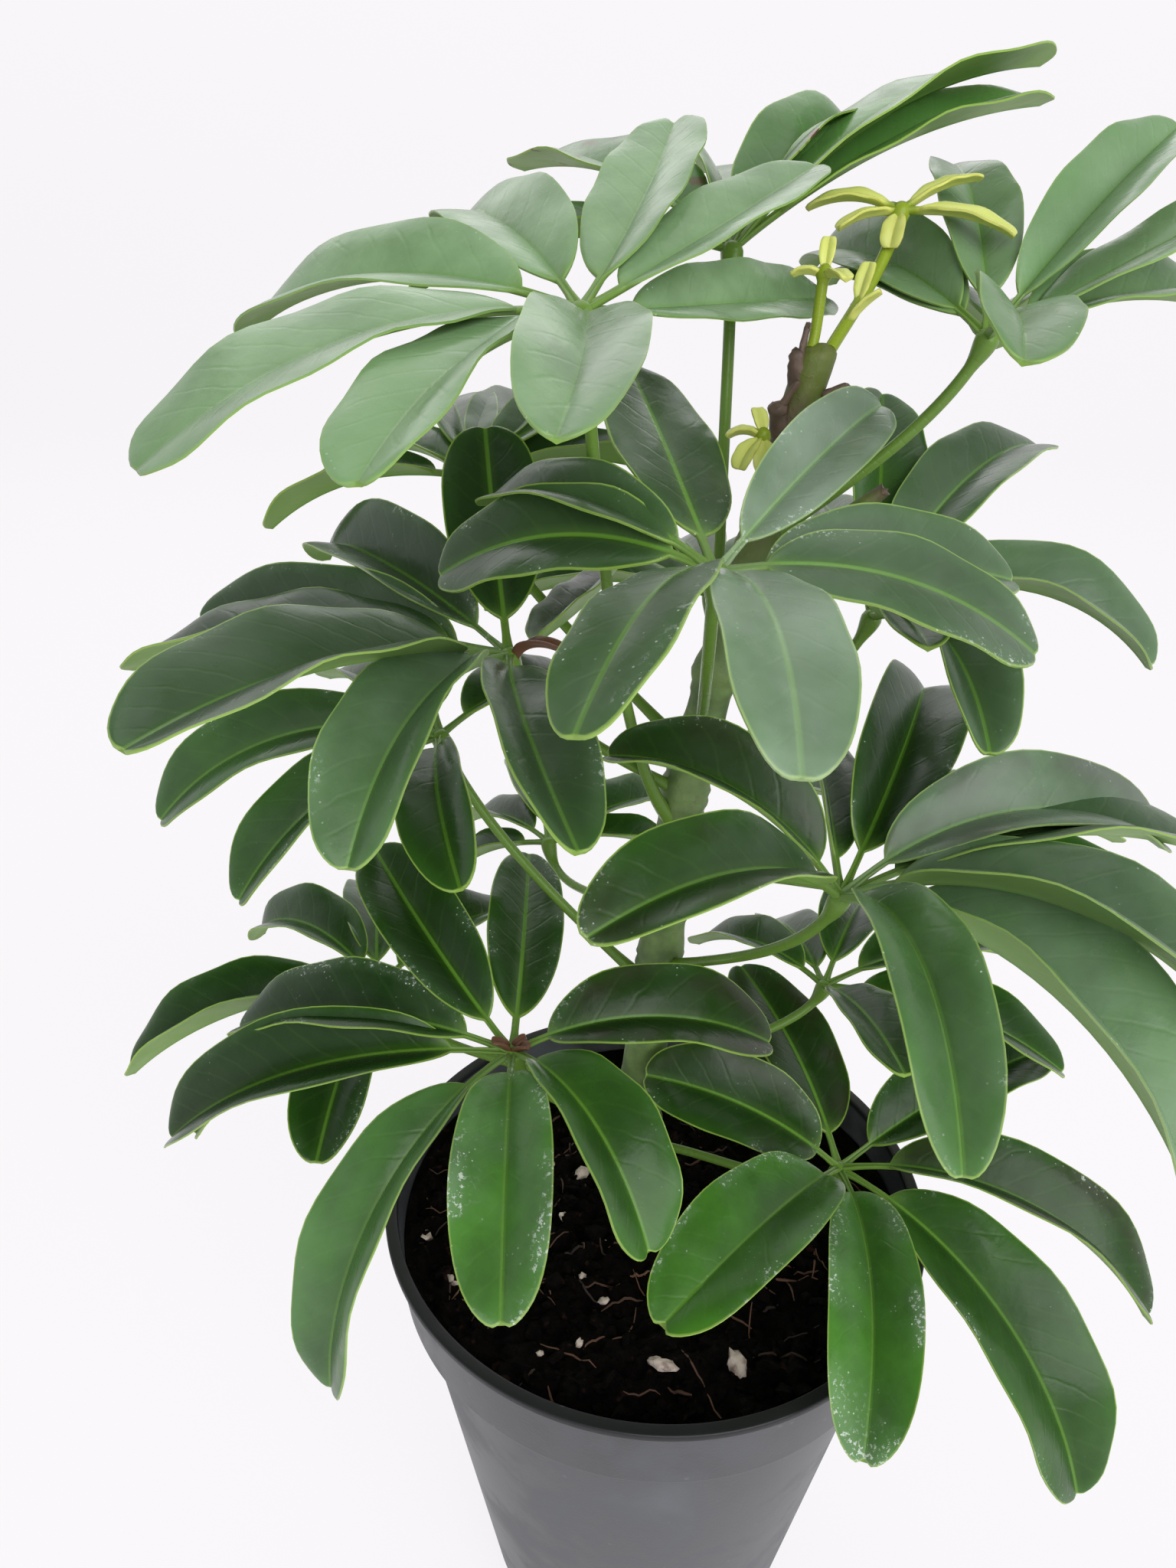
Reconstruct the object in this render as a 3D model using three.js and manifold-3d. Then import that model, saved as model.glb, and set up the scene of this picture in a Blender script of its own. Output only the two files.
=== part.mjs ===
// Potted dwarf umbrella tree: a nursery pot, its potting mix, one woody stem, and leaves
// that are each a petiole with a ring of leaflets. Millimetres, +Z up, +X to the right
// and +Y to the back. The origin is on the pot's axis, on its flat underside.

import * as THREE from "three";
import { mergeVertices } from "three/addons/utils/BufferGeometryUtils.js";
import Module from "manifold-3d";

const wasm = await Module();
wasm.setup();

// Driving dimensions
const fitGap = 0.3;

const potHeight = 120;
const potRimRadius = 60;
const potFootRadius = 38;
const potWall = 1.4;
const potSides = 32;

const collarHeight = 19;
const collarFootRadius = 56.8;
const collarTopRadius = 58.8;
const collarStep = 2.6;
const lipHeight = 1.8;
const lipRounding = 0.5;

const footCorner = 1.6;
const floorThickness = 2;

const drainHoleRadius = 4;
const drainHoleCircle = 24;
const drainHoleCount = 4;
const drainHoleSides = 12;

const soilTop = 111;
const soilRings = 4;
const soilMound = { height: 0.8, lobes: 2, reach: 9 };
const soilRipple = { height: 0.6, lobes: 5, reach: 5 };

const crumbCount = 11;
const crumbSeed = 11;
const crumbRadii = [1, 2.6];
const crumbLengths = [1, 2];
const crumbWidths = [0.7, 1.2];
const crumbFlatness = 0.8;
const crumbLift = 0.1;
const crumbCircles = [24, 51];
const randomMultiplier = 16807;
const randomModulus = 2147483647;

const stemFoot = 70;
const stemBaseRadius = 5.4;
const stemTopRadius = 3.2;
const stemSides = 9;
const stemStations = 20;
const nodeSwelling = 0.5;
const nodeHeight = 2.6;

const petioleRadius = 1.05;
const petioleFootRadius = 1.9;
const petioleFootShare = 0.25;
const petioleSides = 5;
const petioleStations = 6;
const leavingOut = 0.2;
const leavingUp = 0.16;
const arrivingOut = 0.1;
const arrivingUp = 0.28;
const hubRadius = 2.1;

const bladeThickness = 0.8;
const bladeFold = 30;
const bladeWidestLean = 1.15;
const bladeFullness = 2.4;
const bladeBluntness = 1.8;
const petioluleShare = 0.15;
const petioluleHalfWidth = 0.75;
const bladeStations = [0, 0.2, 0.5, 0.8, 0.985];
const smallBladeStations = [0, 0.4, 0.97];
const smallLeaflet = 30;
const stepsBetweenStations = 6;
const undersideSpans = [2, 3];

const up = new THREE.Vector3(0, 0, 1);
const radians = THREE.MathUtils.degToRad;

// The stem leans to the right as it rises; these are points on its axis.
const stemAxis = [
  new THREE.Vector3(-7, 15, stemFoot),
  new THREE.Vector3(-6, 14, 100),
  new THREE.Vector3(-4, 12, 140),
  new THREE.Vector3(-1, 10, 180),
  new THREE.Vector3(2, 10, 217),
  new THREE.Vector3(8, 10, 248),
  new THREE.Vector3(18, 10, 292),
  new THREE.Vector3(19.5, 9.5, 298),
];
const stemTop = stemAxis.at(-1).z;

// One leaflet, by its angles in degrees and sizes in millimetres: heading is the compass
// direction from +X towards +Y, rise is its slope at the hub, droop is how far the slope
// falls by the tip, roll tips the right-hand edge up, swing bends it in plan, and fold is
// how far each half is raised along the midrib.
function leaflet(heading, rise, droop, length, roll, swing, width, fold = bladeFold) {
  return { heading, rise, droop, length, roll, swing, width, fold };
}

// The leaves. The hub is where the leaflets meet, and foot is how high up the stem the
// petiole leaves it. Left, right, front and back are as seen from the front. Where below
// is given, the petiole comes up to the hub from that side. A bract is a small leaflet
// that starts at a share of the petiole's length; the one here is dried and curled.
const leaves = {
  leaf_crown_left: {
    hub: [-17.5, -13.5, 303.5],
    foot: 207,
    below: [1, 17, -24],
    leaflets: [
      leaflet(157, 18, 47, 67, 24, -10, 22.5, 24),
      leaflet(212, 7, 45, 68, 6, 6, 26, 13),
      leaflet(250, 0, 28, 59, -12, 15, 20, 21),
      leaflet(273, 4, 24, 57, 5, -16, 18, 31),
      leaflet(54, 0, 2, 69, -36, 16, 15.5, 25),
      leaflet(48, 22, 2, 56, -7, 9, 17, 20),
      leaflet(78, 28, 2, 60, 8, 11, 17.5, 20),
      leaflet(119, 27, 29, 58, 20, 2, 20.5, 26),
    ],
  },
  leaf_crown_back: {
    hub: [4.5, 29, 310.5],
    foot: 242,
    leaflets: [
      leaflet(34, 46, 42, 76, 8, -1, 25, 13),
      leaflet(30, 37, 32, 70, -7, 3, 24, 24),
      leaflet(62, 44, 39, 58, 4, -6, 19.5, 31),
      leaflet(97, 36, 41, 50, -19, 6, 17, 30),
      leaflet(133, 31, 39, 66, 9, 0, 22.5, 23),
      leaflet(172, 15, 47, 62, 7, 2, 20.5, 26),
    ],
  },
  leaf_crown_right: {
    hub: [46, 11.5, 299],
    foot: 264,
    leaflets: [
      leaflet(115, 27, 36, 52, 35, -3, 16, 28),
      leaflet(115, 28, 36, 60, 34, -10, 19, 34),
      leaflet(91, 46, 34, 56, -1, 5, 15.5, 23),
      leaflet(49, 39, 19, 66, -15, 8, 18, 40),
      leaflet(18, 27, 2, 64, 0, 5, 19.5, 12),
      leaflet(30, 21, 37, 58, -20, 0, 20, 30),
      leaflet(263, 26, 48, 49, 13, -7, 17, 30),
      leaflet(75, 18, 50, 55, 0, 0, 19, 30),
    ],
  },
  leaf_upper_front: {
    hub: [4, -28, 270],
    foot: 228,
    leaflets: [
      leaflet(108, 23, 2, 59, -12, 3, 20, 5),
      leaflet(55, 31, 17, 50, -33, 4, 15, 31),
      leaflet(29, 3, 21, 58, -32, -4, 18.5, 33),
      leaflet(358, 16, 56, 50, -24, -4, 18, 8),
      leaflet(280, 21, 57, 56, 6, -14, 16.5, 15),
      leaflet(253, 25, 60, 55, -16, 0, 16, 8),
      leaflet(164, 22, 60, 48, 36, 3, 18.5, 17),
      leaflet(144, 32, 59, 50, 19, -24, 14, 30),
    ],
  },
  leaf_upper_left: {
    hub: [-30, -6.5, 247.5],
    foot: 214,
    leaflets: [
      leaflet(138, 21, 26, 61, 25, -5, 23.5, 46),
      leaflet(166, 7, 17, 64, 29, -6, 23, 37),
      leaflet(232, 21, 34, 71, 1, 9, 27.5, 28),
      leaflet(254, 17, 63, 58, -6, 18, 21.5, 37),
      leaflet(105, 42, 2, 49, 3, -3, 19, 20),
      leaflet(73, 4, 2, 53, 25, 20, 16, 28),
      leaflet(288, 9, 31, 59, 14, 20, 19, 37),
      leaflet(181, 15, 39, 70, -4, -8, 25, 26),
    ],
    bracts: [
      { at: 0.95, form: leaflet(330, 80, 120, 16, 0, 60, 3.4) },
    ],
  },
  leaf_middle_left: {
    hub: [-48, 16.5, 220.5],
    foot: 166,
    leaflets: [
      leaflet(192, 20, 73, 64, 27, 4, 19.5, 29),
      leaflet(215, -4, 54, 53, 10, -2, 19.5, 33),
      leaflet(286, 9, 33, 50, -27, 19, 18, 38),
      leaflet(134, 18, 42, 50, 0, 0, 17, 30),
      leaflet(110, 21, 49, 59, 0, 0, 20.5, 30),
      leaflet(60, 18, 50, 56, 0, 0, 19.5, 30),
    ],
  },
  leaf_low_front_left: {
    hub: [-28, -22.5, 173.5],
    foot: 126,
    leaflets: [
      leaflet(277, 18, 45, 58, -7, 0, 20, 33),
      leaflet(237, 0, 89, 74, -12, 16, 21.5, 32),
      leaflet(183, 10, 60, 77, 22, -13, 24, 44),
      leaflet(169, 19, 54, 63, 7, -8, 22.5, 34),
      leaflet(132, 23, 6, 57, 15, -11, 20, 32),
      leaflet(95, 9, 2, 61, -12, 3, 17, 14),
      leaflet(10, 34, 69, 53, -14, 1, 21.5, 30),
      leaflet(310, 28, 90, 50, 13, -9, 22, 33),
    ],
  },
  leaf_low_front_right: {
    hub: [40.1, -2.1, 130.4],
    foot: 118,
    leaflets: [
      leaflet(234, 35, 53, 67, 2, -14, 24, 29),
      leaflet(175, 47, 47, 49, 34, -5, 22, 32),
      leaflet(111, 13, 2, 61, -9, 24, 22, 17),
      leaflet(33, 20, 20, 62, -6, -8, 23, 33),
      leaflet(345, 28, 86, 75, -2, -8, 24, 40),
      leaflet(317, 6, 76, 80, -9, -13, 27.5, 31),
      leaflet(269, 19, 55, 64, -2, -24, 21.5, 36),
    ],
  },
  leaf_middle_right: {
    hub: [28.5, -25, 214],
    foot: 172,
    leaflets: [
      leaflet(160, 57, 72, 50, 13, -1, 21, 45),
      leaflet(225, 47, 63, 61, 13, -9, 20.5, 35),
      leaflet(70, 32, 31, 67, -16, 15, 23, 39),
      leaflet(92, 22, 31, 60, -35, -1, 15, 39),
      leaflet(18, 44, 82, 67, -19, -8, 21, 37),
      leaflet(332, 40, 86, 71, 8, -13, 24.5, 33),
      leaflet(313, 25, 83, 77, 10, -19, 29, 40),
      leaflet(279, 41, 87, 66, -4, -14, 16.5, 38),
      leaflet(14, 32, 57, 70, 3, 5, 25, 30),
    ],
  },
  leaf_upper_right: {
    hub: [35.5, 23, 247.5],
    foot: 217,
    leaflets: [
      leaflet(347, 42, 92, 56, -9, -9, 22, 34),
      leaflet(49, 55, 61, 66, -9, -1, 20, 26),
      leaflet(286, 29, 74, 52, 10, -13, 18.5, 39),
      leaflet(274, 29, 34, 42, -1, 0, 14, 31),
      leaflet(86, 47, 16, 56, -21, 2, 19.5, 30),
      leaflet(99, 30, 34, 50, 0, 2, 17, 30),
    ],
  },
  leaf_low_left: {
    hub: [-66.5, 19.5, 153.5],
    foot: 129,
    leaflets: [
      leaflet(196, 12, 57, 62, -3, -5, 24.5, 45),
      leaflet(142, 23, 62, 55, 4, 14, 21, 32),
      leaflet(270, 13, 41, 50, -3, 0, 19, 30),
      leaflet(219, 1, 54, 52, -10, 0, 18, 30),
      leaflet(104, 18, 49, 57, 0, 0, 19.5, 30),
      leaflet(60, 18, 50, 55, 0, 0, 19, 30),
    ],
  },
  leaf_low_right: {
    hub: [37, 29.5, 155.5],
    foot: 138,
    leaflets: [
      leaflet(346, 16, 52, 57, 0, 2, 20.5, 30),
      leaflet(131, 12, 57, 48, 1, 0, 16.5, 31),
      leaflet(285, 32, 37, 45, 0, -3, 15.5, 30),
      leaflet(24, 23, 60, 64, 0, 0, 22, 30),
      leaflet(101, 5, 41, 49, 1, 0, 17, 30),
      leaflet(71, 18, 50, 56, 0, 0, 19.5, 30),
    ],
  },
  leaf_upper_back_left: {
    hub: [-44.5, 38, 268],
    foot: 222,
    leaflets: [
      leaflet(140, 21, 56, 48, 0, 4, 16.5, 30),
      leaflet(106, 22, 30, 55, -6, 4, 19, 30),
      leaflet(170, 8, 50, 50, 0, 3, 17, 30),
      leaflet(82, 18, 22, 57, -1, 0, 20, 31),
      leaflet(58, 26, 41, 56, -5, 0, 19.5, 30),
      leaflet(30, 17, 50, 56, 0, 0, 19.5, 30),
    ],
  },
  leaf_middle_back_left: {
    hub: [-31.5, 61.5, 171],
    foot: 178,
    leaflets: [
      leaflet(132, 8, 57, 50, 0, 0, 17, 30),
      leaflet(160, -8, 60, 48, 0, 0, 16.5, 30),
      leaflet(104, 20, 49, 54, 1, 0, 18.5, 30),
      leaflet(74, 16, 50, 54, 1, -1, 18.5, 30),
      leaflet(45, 19, 50, 54, 0, 0, 18.5, 30),
      leaflet(20, 15, 70, 45, 0, 0, 15.5, 30),
    ],
  },
  leaf_upper_back: {
    hub: [5.5, 62.5, 238],
    foot: 241,
    leaflets: [
      leaflet(19, 18, 50, 56, 0, 0, 19.5, 30),
      leaflet(61, 17, 50, 58, 0, 0, 20, 30),
      leaflet(101, 19, 49, 60, 0, 0, 20.5, 30),
      leaflet(140, 18, 50, 58, 0, 0, 20, 30),
      leaflet(180, 18, 49, 54, 0, 0, 18.5, 30),
    ],
  },
  leaf_middle_back_right: {
    hub: [61.5, 50, 181],
    foot: 190,
    leaflets: [
      leaflet(350, 18, 51, 54, 0, 0, 18.5, 30),
      leaflet(25, 19, 51, 58, 0, 0, 20, 31),
      leaflet(60, 16, 51, 60, 0, 0, 20.5, 30),
      leaflet(95, 19, 51, 58, 0, 0, 20, 31),
      leaflet(130, 18, 50, 54, 0, 0, 18.5, 30),
    ],
  },
};

// The pale new growth by the top of the stem, built as small leaves on slim petioles.
const youngLeaves = {
  young_leaf_top: {
    hub: [32, 27, 317],
    root: [21, 10, 297],
    radius: 1.1,
    leaflets: [
      leaflet(165, 30, 60, 17, 10, 0, 6, 20),
      leaflet(195, 10, 50, 12, 0, 0, 4, 20),
      leaflet(250, -20, 60, 8, 0, 0, 4, 20),
      leaflet(20, 40, 40, 16, 0, 0, 5, 20),
      leaflet(345, 10, 40, 20, -10, 0, 6, 20),
    ],
    bracts: [
      { at: 0.2, form: leaflet(350, 60, 30, 8, 0, 0, 3, 20) },
      { at: 0.35, form: leaflet(60, 70, 20, 8, 0, 0, 3, 20) },
    ],
  },
  young_leaf_small: {
    hub: [19, 11.5, 308],
    root: [17.8, 9, 297],
    radius: 0.9,
    leaflets: [
      leaflet(170, 30, 70, 6, 0, 0, 3, 20),
      leaflet(80, 70, 30, 7, 0, 0, 2.6, 20),
      leaflet(300, 20, 50, 7, 0, 0, 3, 20),
    ],
  },
  young_leaf_side: {
    hub: [11, 3, 284],
    root: [12, 10, 274],
    radius: 0.9,
    leaflets: [
      leaflet(175, 40, 90, 7, 0, 0, 3, 20),
      leaflet(230, -10, 60, 8, 0, 0, 4, 20),
      leaflet(275, -25, 50, 7, 0, 0, 4, 20),
      leaflet(110, 65, 40, 6, 0, 0, 2.6, 20),
    ],
  },
};

// Dried stubs and a cut petiole left on the stem: root, tip, root radius, tip radius.
const stemStubs = [
  [[16.5, 9.5, 291], [15.5, 8, 297], 1.8, 1.4],
  [[16, 8, 295], [17, 8.5, 301], 0.7, 0.5],
  [[14, 8.5, 284], [13, 6.5, 289], 1.9, 1.5],
  [[13.5, 7, 288], [16, 5.5, 292.5], 0.7, 0.6],
  [[20.5, 8.5, 290], [24.5, 8, 292], 0.8, 0.6],
  [[10.3, 10, 257], [32, 4.5, 276], 1.2, 1.4],
];

function vector(coordinates) {
  return new THREE.Vector3(...coordinates);
}

// A closed mesh becomes a solid once its shared vertices are one and the triangles that
// shrink to a line on an axis are dropped.
function solidFrom(geometry) {
  geometry.deleteAttribute("normal");
  geometry.deleteAttribute("uv");
  const merged = mergeVertices(geometry);
  const corners = merged.index.array;
  const kept = [];
  for (let i = 0; i < corners.length; i += 3) {
    const [a, b, c] = corners.slice(i, i + 3);
    if (a !== b && b !== c && c !== a) {
      kept.push(a, b, c);
    }
  }
  const vertProperties = new Float32Array(merged.attributes.position.array);
  const triVerts = new Uint32Array(kept);
  return new wasm.Manifold(new wasm.Mesh({ numProp: 3, vertProperties, triVerts }));
}

function geometryFrom(solid) {
  const { vertProperties, triVerts } = solid.getMesh();
  const geometry = new THREE.BufferGeometry();
  geometry.setAttribute("position", new THREE.BufferAttribute(vertProperties, 3));
  geometry.setIndex(new THREE.BufferAttribute(triVerts, 1));
  geometry.computeVertexNormals();
  return geometry;
}

// A closed skin over rings of equal point count, each turning anticlockwise about the
// way forward. The sides in mirrored are split along the other diagonal. The end faces
// fan out from the first point, which in a hollow ring is the hollow's deepest.
function skinOver(rings, mirrored = []) {
  const count = rings[0].length;
  const last = (rings.length - 1) * count;
  const faces = [];
  for (let ring = 0; ring < rings.length - 1; ring += 1) {
    for (let side = 0; side < count; side += 1) {
      const a = ring * count + side;
      const b = ring * count + (side + 1) % count;
      const c = b + count;
      const d = a + count;
      if (mirrored.includes(side)) {
        faces.push(a, b, d, b, c, d);
      } else {
        faces.push(a, b, c, a, c, d);
      }
    }
  }
  for (let side = 1; side < count - 1; side += 1) {
    faces.push(0, side + 1, side);
    faces.push(last, last + side, last + side + 1);
  }
  const geometry = new THREE.BufferGeometry().setFromPoints(rings.flat());
  geometry.setIndex(faces);
  return geometry;
}

function tube(curve, radiusAt, sides, stations) {
  const frames = curve.computeFrenetFrames(stations, false);
  const rings = [];
  for (let station = 0; station <= stations; station += 1) {
    const share = station / stations;
    const radius = radiusAt(share);
    const ring = [];
    for (let side = 0; side < sides; side += 1) {
      const angle = 2 * Math.PI * side / sides;
      const point = curve.getPointAt(share);
      point.addScaledVector(frames.normals[station], radius * Math.cos(angle));
      point.addScaledVector(frames.binormals[station], radius * Math.sin(angle));
      ring.push(point);
    }
    rings.push(ring);
  }
  return solidFrom(skinOver(rings));
}

// Pot

function outerBodyRadius(height) {
  const shoulder = potHeight - collarHeight;
  const topRadius = collarFootRadius - collarStep;
  return THREE.MathUtils.mapLinear(height, footCorner, shoulder, potFootRadius, topRadius);
}

function innerCollarRadius(height) {
  const outer = THREE.MathUtils.mapLinear(
    height, potHeight - collarHeight, potHeight, collarFootRadius, collarTopRadius);
  return outer - potWall;
}

function potProfile() {
  const shoulder = potHeight - collarHeight;
  const innerShoulder = shoulder + potWall;
  const points = [
    [0, 0],
    [potFootRadius - footCorner, 0],
    [outerBodyRadius(footCorner), footCorner],
    [outerBodyRadius(shoulder), shoulder],
    [collarFootRadius, shoulder],
    [collarTopRadius, potHeight - lipHeight],
    [potRimRadius, potHeight - lipHeight + lipRounding],
    [potRimRadius, potHeight - lipRounding],
    [potRimRadius - lipRounding, potHeight],
    [innerCollarRadius(potHeight), potHeight],
    [innerCollarRadius(innerShoulder), innerShoulder],
    [outerBodyRadius(shoulder) - potWall, innerShoulder],
    [outerBodyRadius(floorThickness) - potWall, floorThickness],
    [0, floorThickness],
  ];
  return points.map(([radius, height]) => new THREE.Vector2(radius, height));
}

// A lathe turns its profile about Y, so the result is stood up on Z.
function turned(profile, sides) {
  const geometry = new THREE.LatheGeometry(profile, sides);
  geometry.rotateX(Math.PI / 2);
  return solidFrom(geometry);
}

function drainHole(index) {
  const angle = 2 * Math.PI * (index + 0.5) / drainHoleCount;
  const depth = 4 * floorThickness;
  const hole = new THREE.CylinderGeometry(drainHoleRadius, drainHoleRadius, depth, drainHoleSides);
  hole.rotateX(Math.PI / 2);
  hole.translate(drainHoleCircle * Math.cos(angle), drainHoleCircle * Math.sin(angle), 0);
  return solidFrom(hole);
}

function potSolid() {
  let solid = turned(potProfile(), potSides);
  for (let index = 0; index < drainHoleCount; index += 1) {
    solid = solid.subtract(drainHole(index));
  }
  return solid;
}

// Stem

function stemRadiusAt(height) {
  let radius = THREE.MathUtils.mapLinear(height, stemFoot, stemTop, stemBaseRadius, stemTopRadius);
  for (const leaf of Object.values(leaves)) {
    radius += nodeSwelling * Math.exp(-(((height - leaf.foot) / nodeHeight) ** 2));
  }
  return radius;
}

function stemPointAt(height) {
  const next = Math.max(1, stemAxis.findIndex((point) => point.z >= height));
  const [below, above] = [stemAxis[next - 1], stemAxis[next]];
  return below.clone().lerp(above, (height - below.z) / (above.z - below.z));
}

// Level rings about the axis, all fatter and longer by the same gap.
function stemShell(gap) {
  const top = stemTop + gap;
  const foot = stemFoot - gap;
  const rings = [];
  for (let station = 0; station <= stemStations; station += 1) {
    const height = foot + (top - foot) * station / stemStations;
    const held = THREE.MathUtils.clamp(height, stemFoot, stemTop);
    const middle = stemPointAt(held);
    const radius = stemRadiusAt(held) + gap;
    const ring = [];
    for (let side = 0; side < stemSides; side += 1) {
      const angle = 2 * Math.PI * side / stemSides;
      ring.push(new THREE.Vector3(
        middle.x + radius * Math.cos(angle), middle.y + radius * Math.sin(angle), height));
    }
    rings.push(ring);
  }
  return solidFrom(skinOver(rings));
}

function peg([root, tip, rootRadius, tipRadius]) {
  const line = new THREE.LineCurve3(vector(root), vector(tip));
  const radiusAt = (share) => THREE.MathUtils.lerp(rootRadius, tipRadius, share);
  return tube(line, radiusAt, petioleSides, 1);
}

function stemSolid() {
  let solid = stemShell(0);
  for (const stub of stemStubs) {
    solid = solid.add(peg(stub));
  }
  return solid;
}

// Leaves

function stationsOf(form) {
  return form.length < smallLeaflet ? smallBladeStations : bladeStations;
}

// Walks out along the midrib from its start in small steps, and gives the place and the
// three directions at each station of the leaflet.
function midribStations(start, form) {
  const shares = [0];
  for (const station of stationsOf(form)) {
    shares.push(petioluleShare + (1 - petioluleShare) * station);
  }
  const point = start.clone();
  const stations = [];
  let walked = 0;
  for (const share of shares) {
    const step = (share - walked) / stepsBetweenStations;
    for (let i = 0; i < stepsBetweenStations; i += 1) {
      point.addScaledVector(midribDirection(form, walked + step / 2), step * form.length);
      walked += step;
    }
    const forward = midribDirection(form, share);
    const heading = midribHeading(form, share);
    const right = new THREE.Vector3(Math.sin(heading), -Math.cos(heading), 0);
    right.applyAxisAngle(forward, -radians(form.roll));
    const normal = right.clone().cross(forward);
    stations.push({ point: point.clone(), right, normal });
  }
  return stations;
}

function midribHeading(form, share) {
  return radians(form.heading + form.swing * (share - 0.5));
}

function midribDirection(form, share) {
  const slope = radians(form.rise - form.droop * share);
  const heading = midribHeading(form, share);
  return new THREE.Vector3(
    Math.cos(slope) * Math.cos(heading), Math.cos(slope) * Math.sin(heading), Math.sin(slope));
}

// Half the blade's width from its base at 0 to its tip at 1: rounded, and widest just
// past the middle.
function bladeOutline(share) {
  const across = 2 * share ** bladeWidestLean - 1;
  return (1 - Math.abs(across) ** bladeFullness) ** (1 / bladeBluntness);
}

function leafletSolid(start, form) {
  const stations = midribStations(start, form);
  const rings = stations.map(({ point, right, normal }, index) => {
    const along = index === 0 ? 0 : stationsOf(form)[index - 1];
    const halfWidth = Math.max(petioluleHalfWidth, bladeOutline(along) * form.width / 2);
    const fold = radians(form.fold);
    const rib = (above) => {
      const height = above * bladeThickness / 2 / Math.cos(fold);
      return point.clone().addScaledVector(normal, height);
    };
    const edge = (across, above) => {
      const lift = above * bladeThickness / 2;
      return point.clone()
        .addScaledVector(right, across * (halfWidth * Math.cos(fold) - lift * Math.sin(fold)))
        .addScaledVector(normal, halfWidth * Math.sin(fold) + lift * Math.cos(fold));
    };
    return [rib(1), edge(1, 1), edge(1, -1), rib(-1), edge(-1, -1), edge(-1, 1)];
  });
  return solidFrom(skinOver(rings, undersideSpans));
}

// The petiole leaves the stem outwards and comes up under the hub.
function petioleCurve(form) {
  const root = form.root ? vector(form.root) : stemPointAt(form.foot);
  const hub = vector(form.hub);
  const reach = root.distanceTo(hub);
  const out = hub.clone().sub(root).setZ(0).normalize();
  const leaving = root.clone()
    .addScaledVector(out, leavingOut * reach)
    .addScaledVector(up, leavingUp * reach);
  const arriving = hub.clone();
  if (form.below) {
    arriving.add(vector(form.below));
  } else {
    arriving.addScaledVector(out, -arrivingOut * reach).addScaledVector(up, -arrivingUp * reach);
  }
  return new THREE.CubicBezierCurve3(root, leaving, arriving, hub);
}

function petioleSolid(form, curve) {
  const slim = form.radius ?? petioleRadius;
  const foot = form.radius ?? petioleFootRadius;
  const radiusAt = (share) => {
    const nearFoot = Math.max(0, 1 - share / petioleFootShare);
    return slim + (foot - slim) * nearFoot ** 2;
  };
  return tube(curve, radiusAt, petioleSides, petioleStations);
}

function leafSolid(form, stemClearance) {
  const hub = vector(form.hub);
  const curve = petioleCurve(form);
  const ballRadius = form.radius ?? hubRadius;
  const ball = new THREE.IcosahedronGeometry(ballRadius).translate(hub.x, hub.y, hub.z);
  let solid = petioleSolid(form, curve).add(solidFrom(ball));
  for (const ray of form.leaflets) {
    solid = solid.add(leafletSolid(hub, ray));
  }
  for (const { at, form: bract } of form.bracts ?? []) {
    solid = solid.add(leafletSolid(curve.getPointAt(at), bract));
  }
  return solid.subtract(stemClearance);
}

// Potting mix

// Broad mounds with finer ripples across them.
function soilSurface(radius, angle) {
  const swell = Math.cos(soilMound.lobes * angle) * Math.sin(radius / soilMound.reach);
  const ripple = Math.cos(soilRipple.lobes * angle + radius / soilRipple.reach);
  return soilTop + soilMound.height * swell + soilRipple.height * ripple;
}

function ringAt(radius, heightAt) {
  const ring = [];
  for (let side = 0; side < potSides; side += 1) {
    const angle = 2 * Math.PI * side / potSides;
    ring.push(new THREE.Vector3(
      radius * Math.cos(angle), radius * Math.sin(angle), heightAt(radius, angle)));
  }
  return ring;
}

function soilBody() {
  const floorTop = floorThickness + fitGap;
  const shoulder = potHeight - collarHeight;
  const ledge = shoulder + potWall + fitGap;
  const edgeRadius = innerCollarRadius(soilTop) - fitGap;
  const rings = [
    ringAt(outerBodyRadius(floorTop) - potWall - fitGap, () => floorTop),
    ringAt(outerBodyRadius(shoulder) - potWall - fitGap, () => ledge),
    ringAt(innerCollarRadius(ledge) - fitGap, () => ledge),
  ];
  for (let ring = 0; ring < soilRings; ring += 1) {
    rings.push(ringAt(edgeRadius * (1 - ring / soilRings), soilSurface));
  }
  return solidFrom(skinOver(rings));
}

function randomDraws(seed) {
  let state = seed;
  return () => {
    state = (state * randomMultiplier) % randomModulus;
    return state / randomModulus;
  };
}

// Perlite, bark and grit lie half sunk in the surface, between the stem and the wall.
function soilCrumb(draw) {
  const radius = THREE.MathUtils.lerp(...crumbCircles, Math.sqrt(draw()));
  const angle = 2 * Math.PI * draw();
  const size = THREE.MathUtils.lerp(...crumbRadii, draw());
  const crumb = new THREE.IcosahedronGeometry(size);
  const length = THREE.MathUtils.lerp(...crumbLengths, draw());
  const width = THREE.MathUtils.lerp(...crumbWidths, draw());
  crumb.scale(length, width, crumbFlatness);
  crumb.rotateZ(2 * Math.PI * draw());
  const height = soilSurface(radius, angle) + crumbLift * size;
  crumb.translate(radius * Math.cos(angle), radius * Math.sin(angle), height);
  return solidFrom(crumb);
}

function soilSolid(stemClearance) {
  const draw = randomDraws(crumbSeed);
  let solid = soilBody();
  for (let index = 0; index < crumbCount; index += 1) {
    solid = solid.add(soilCrumb(draw));
  }
  return solid.subtract(stemClearance);
}

// The whole plant

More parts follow.
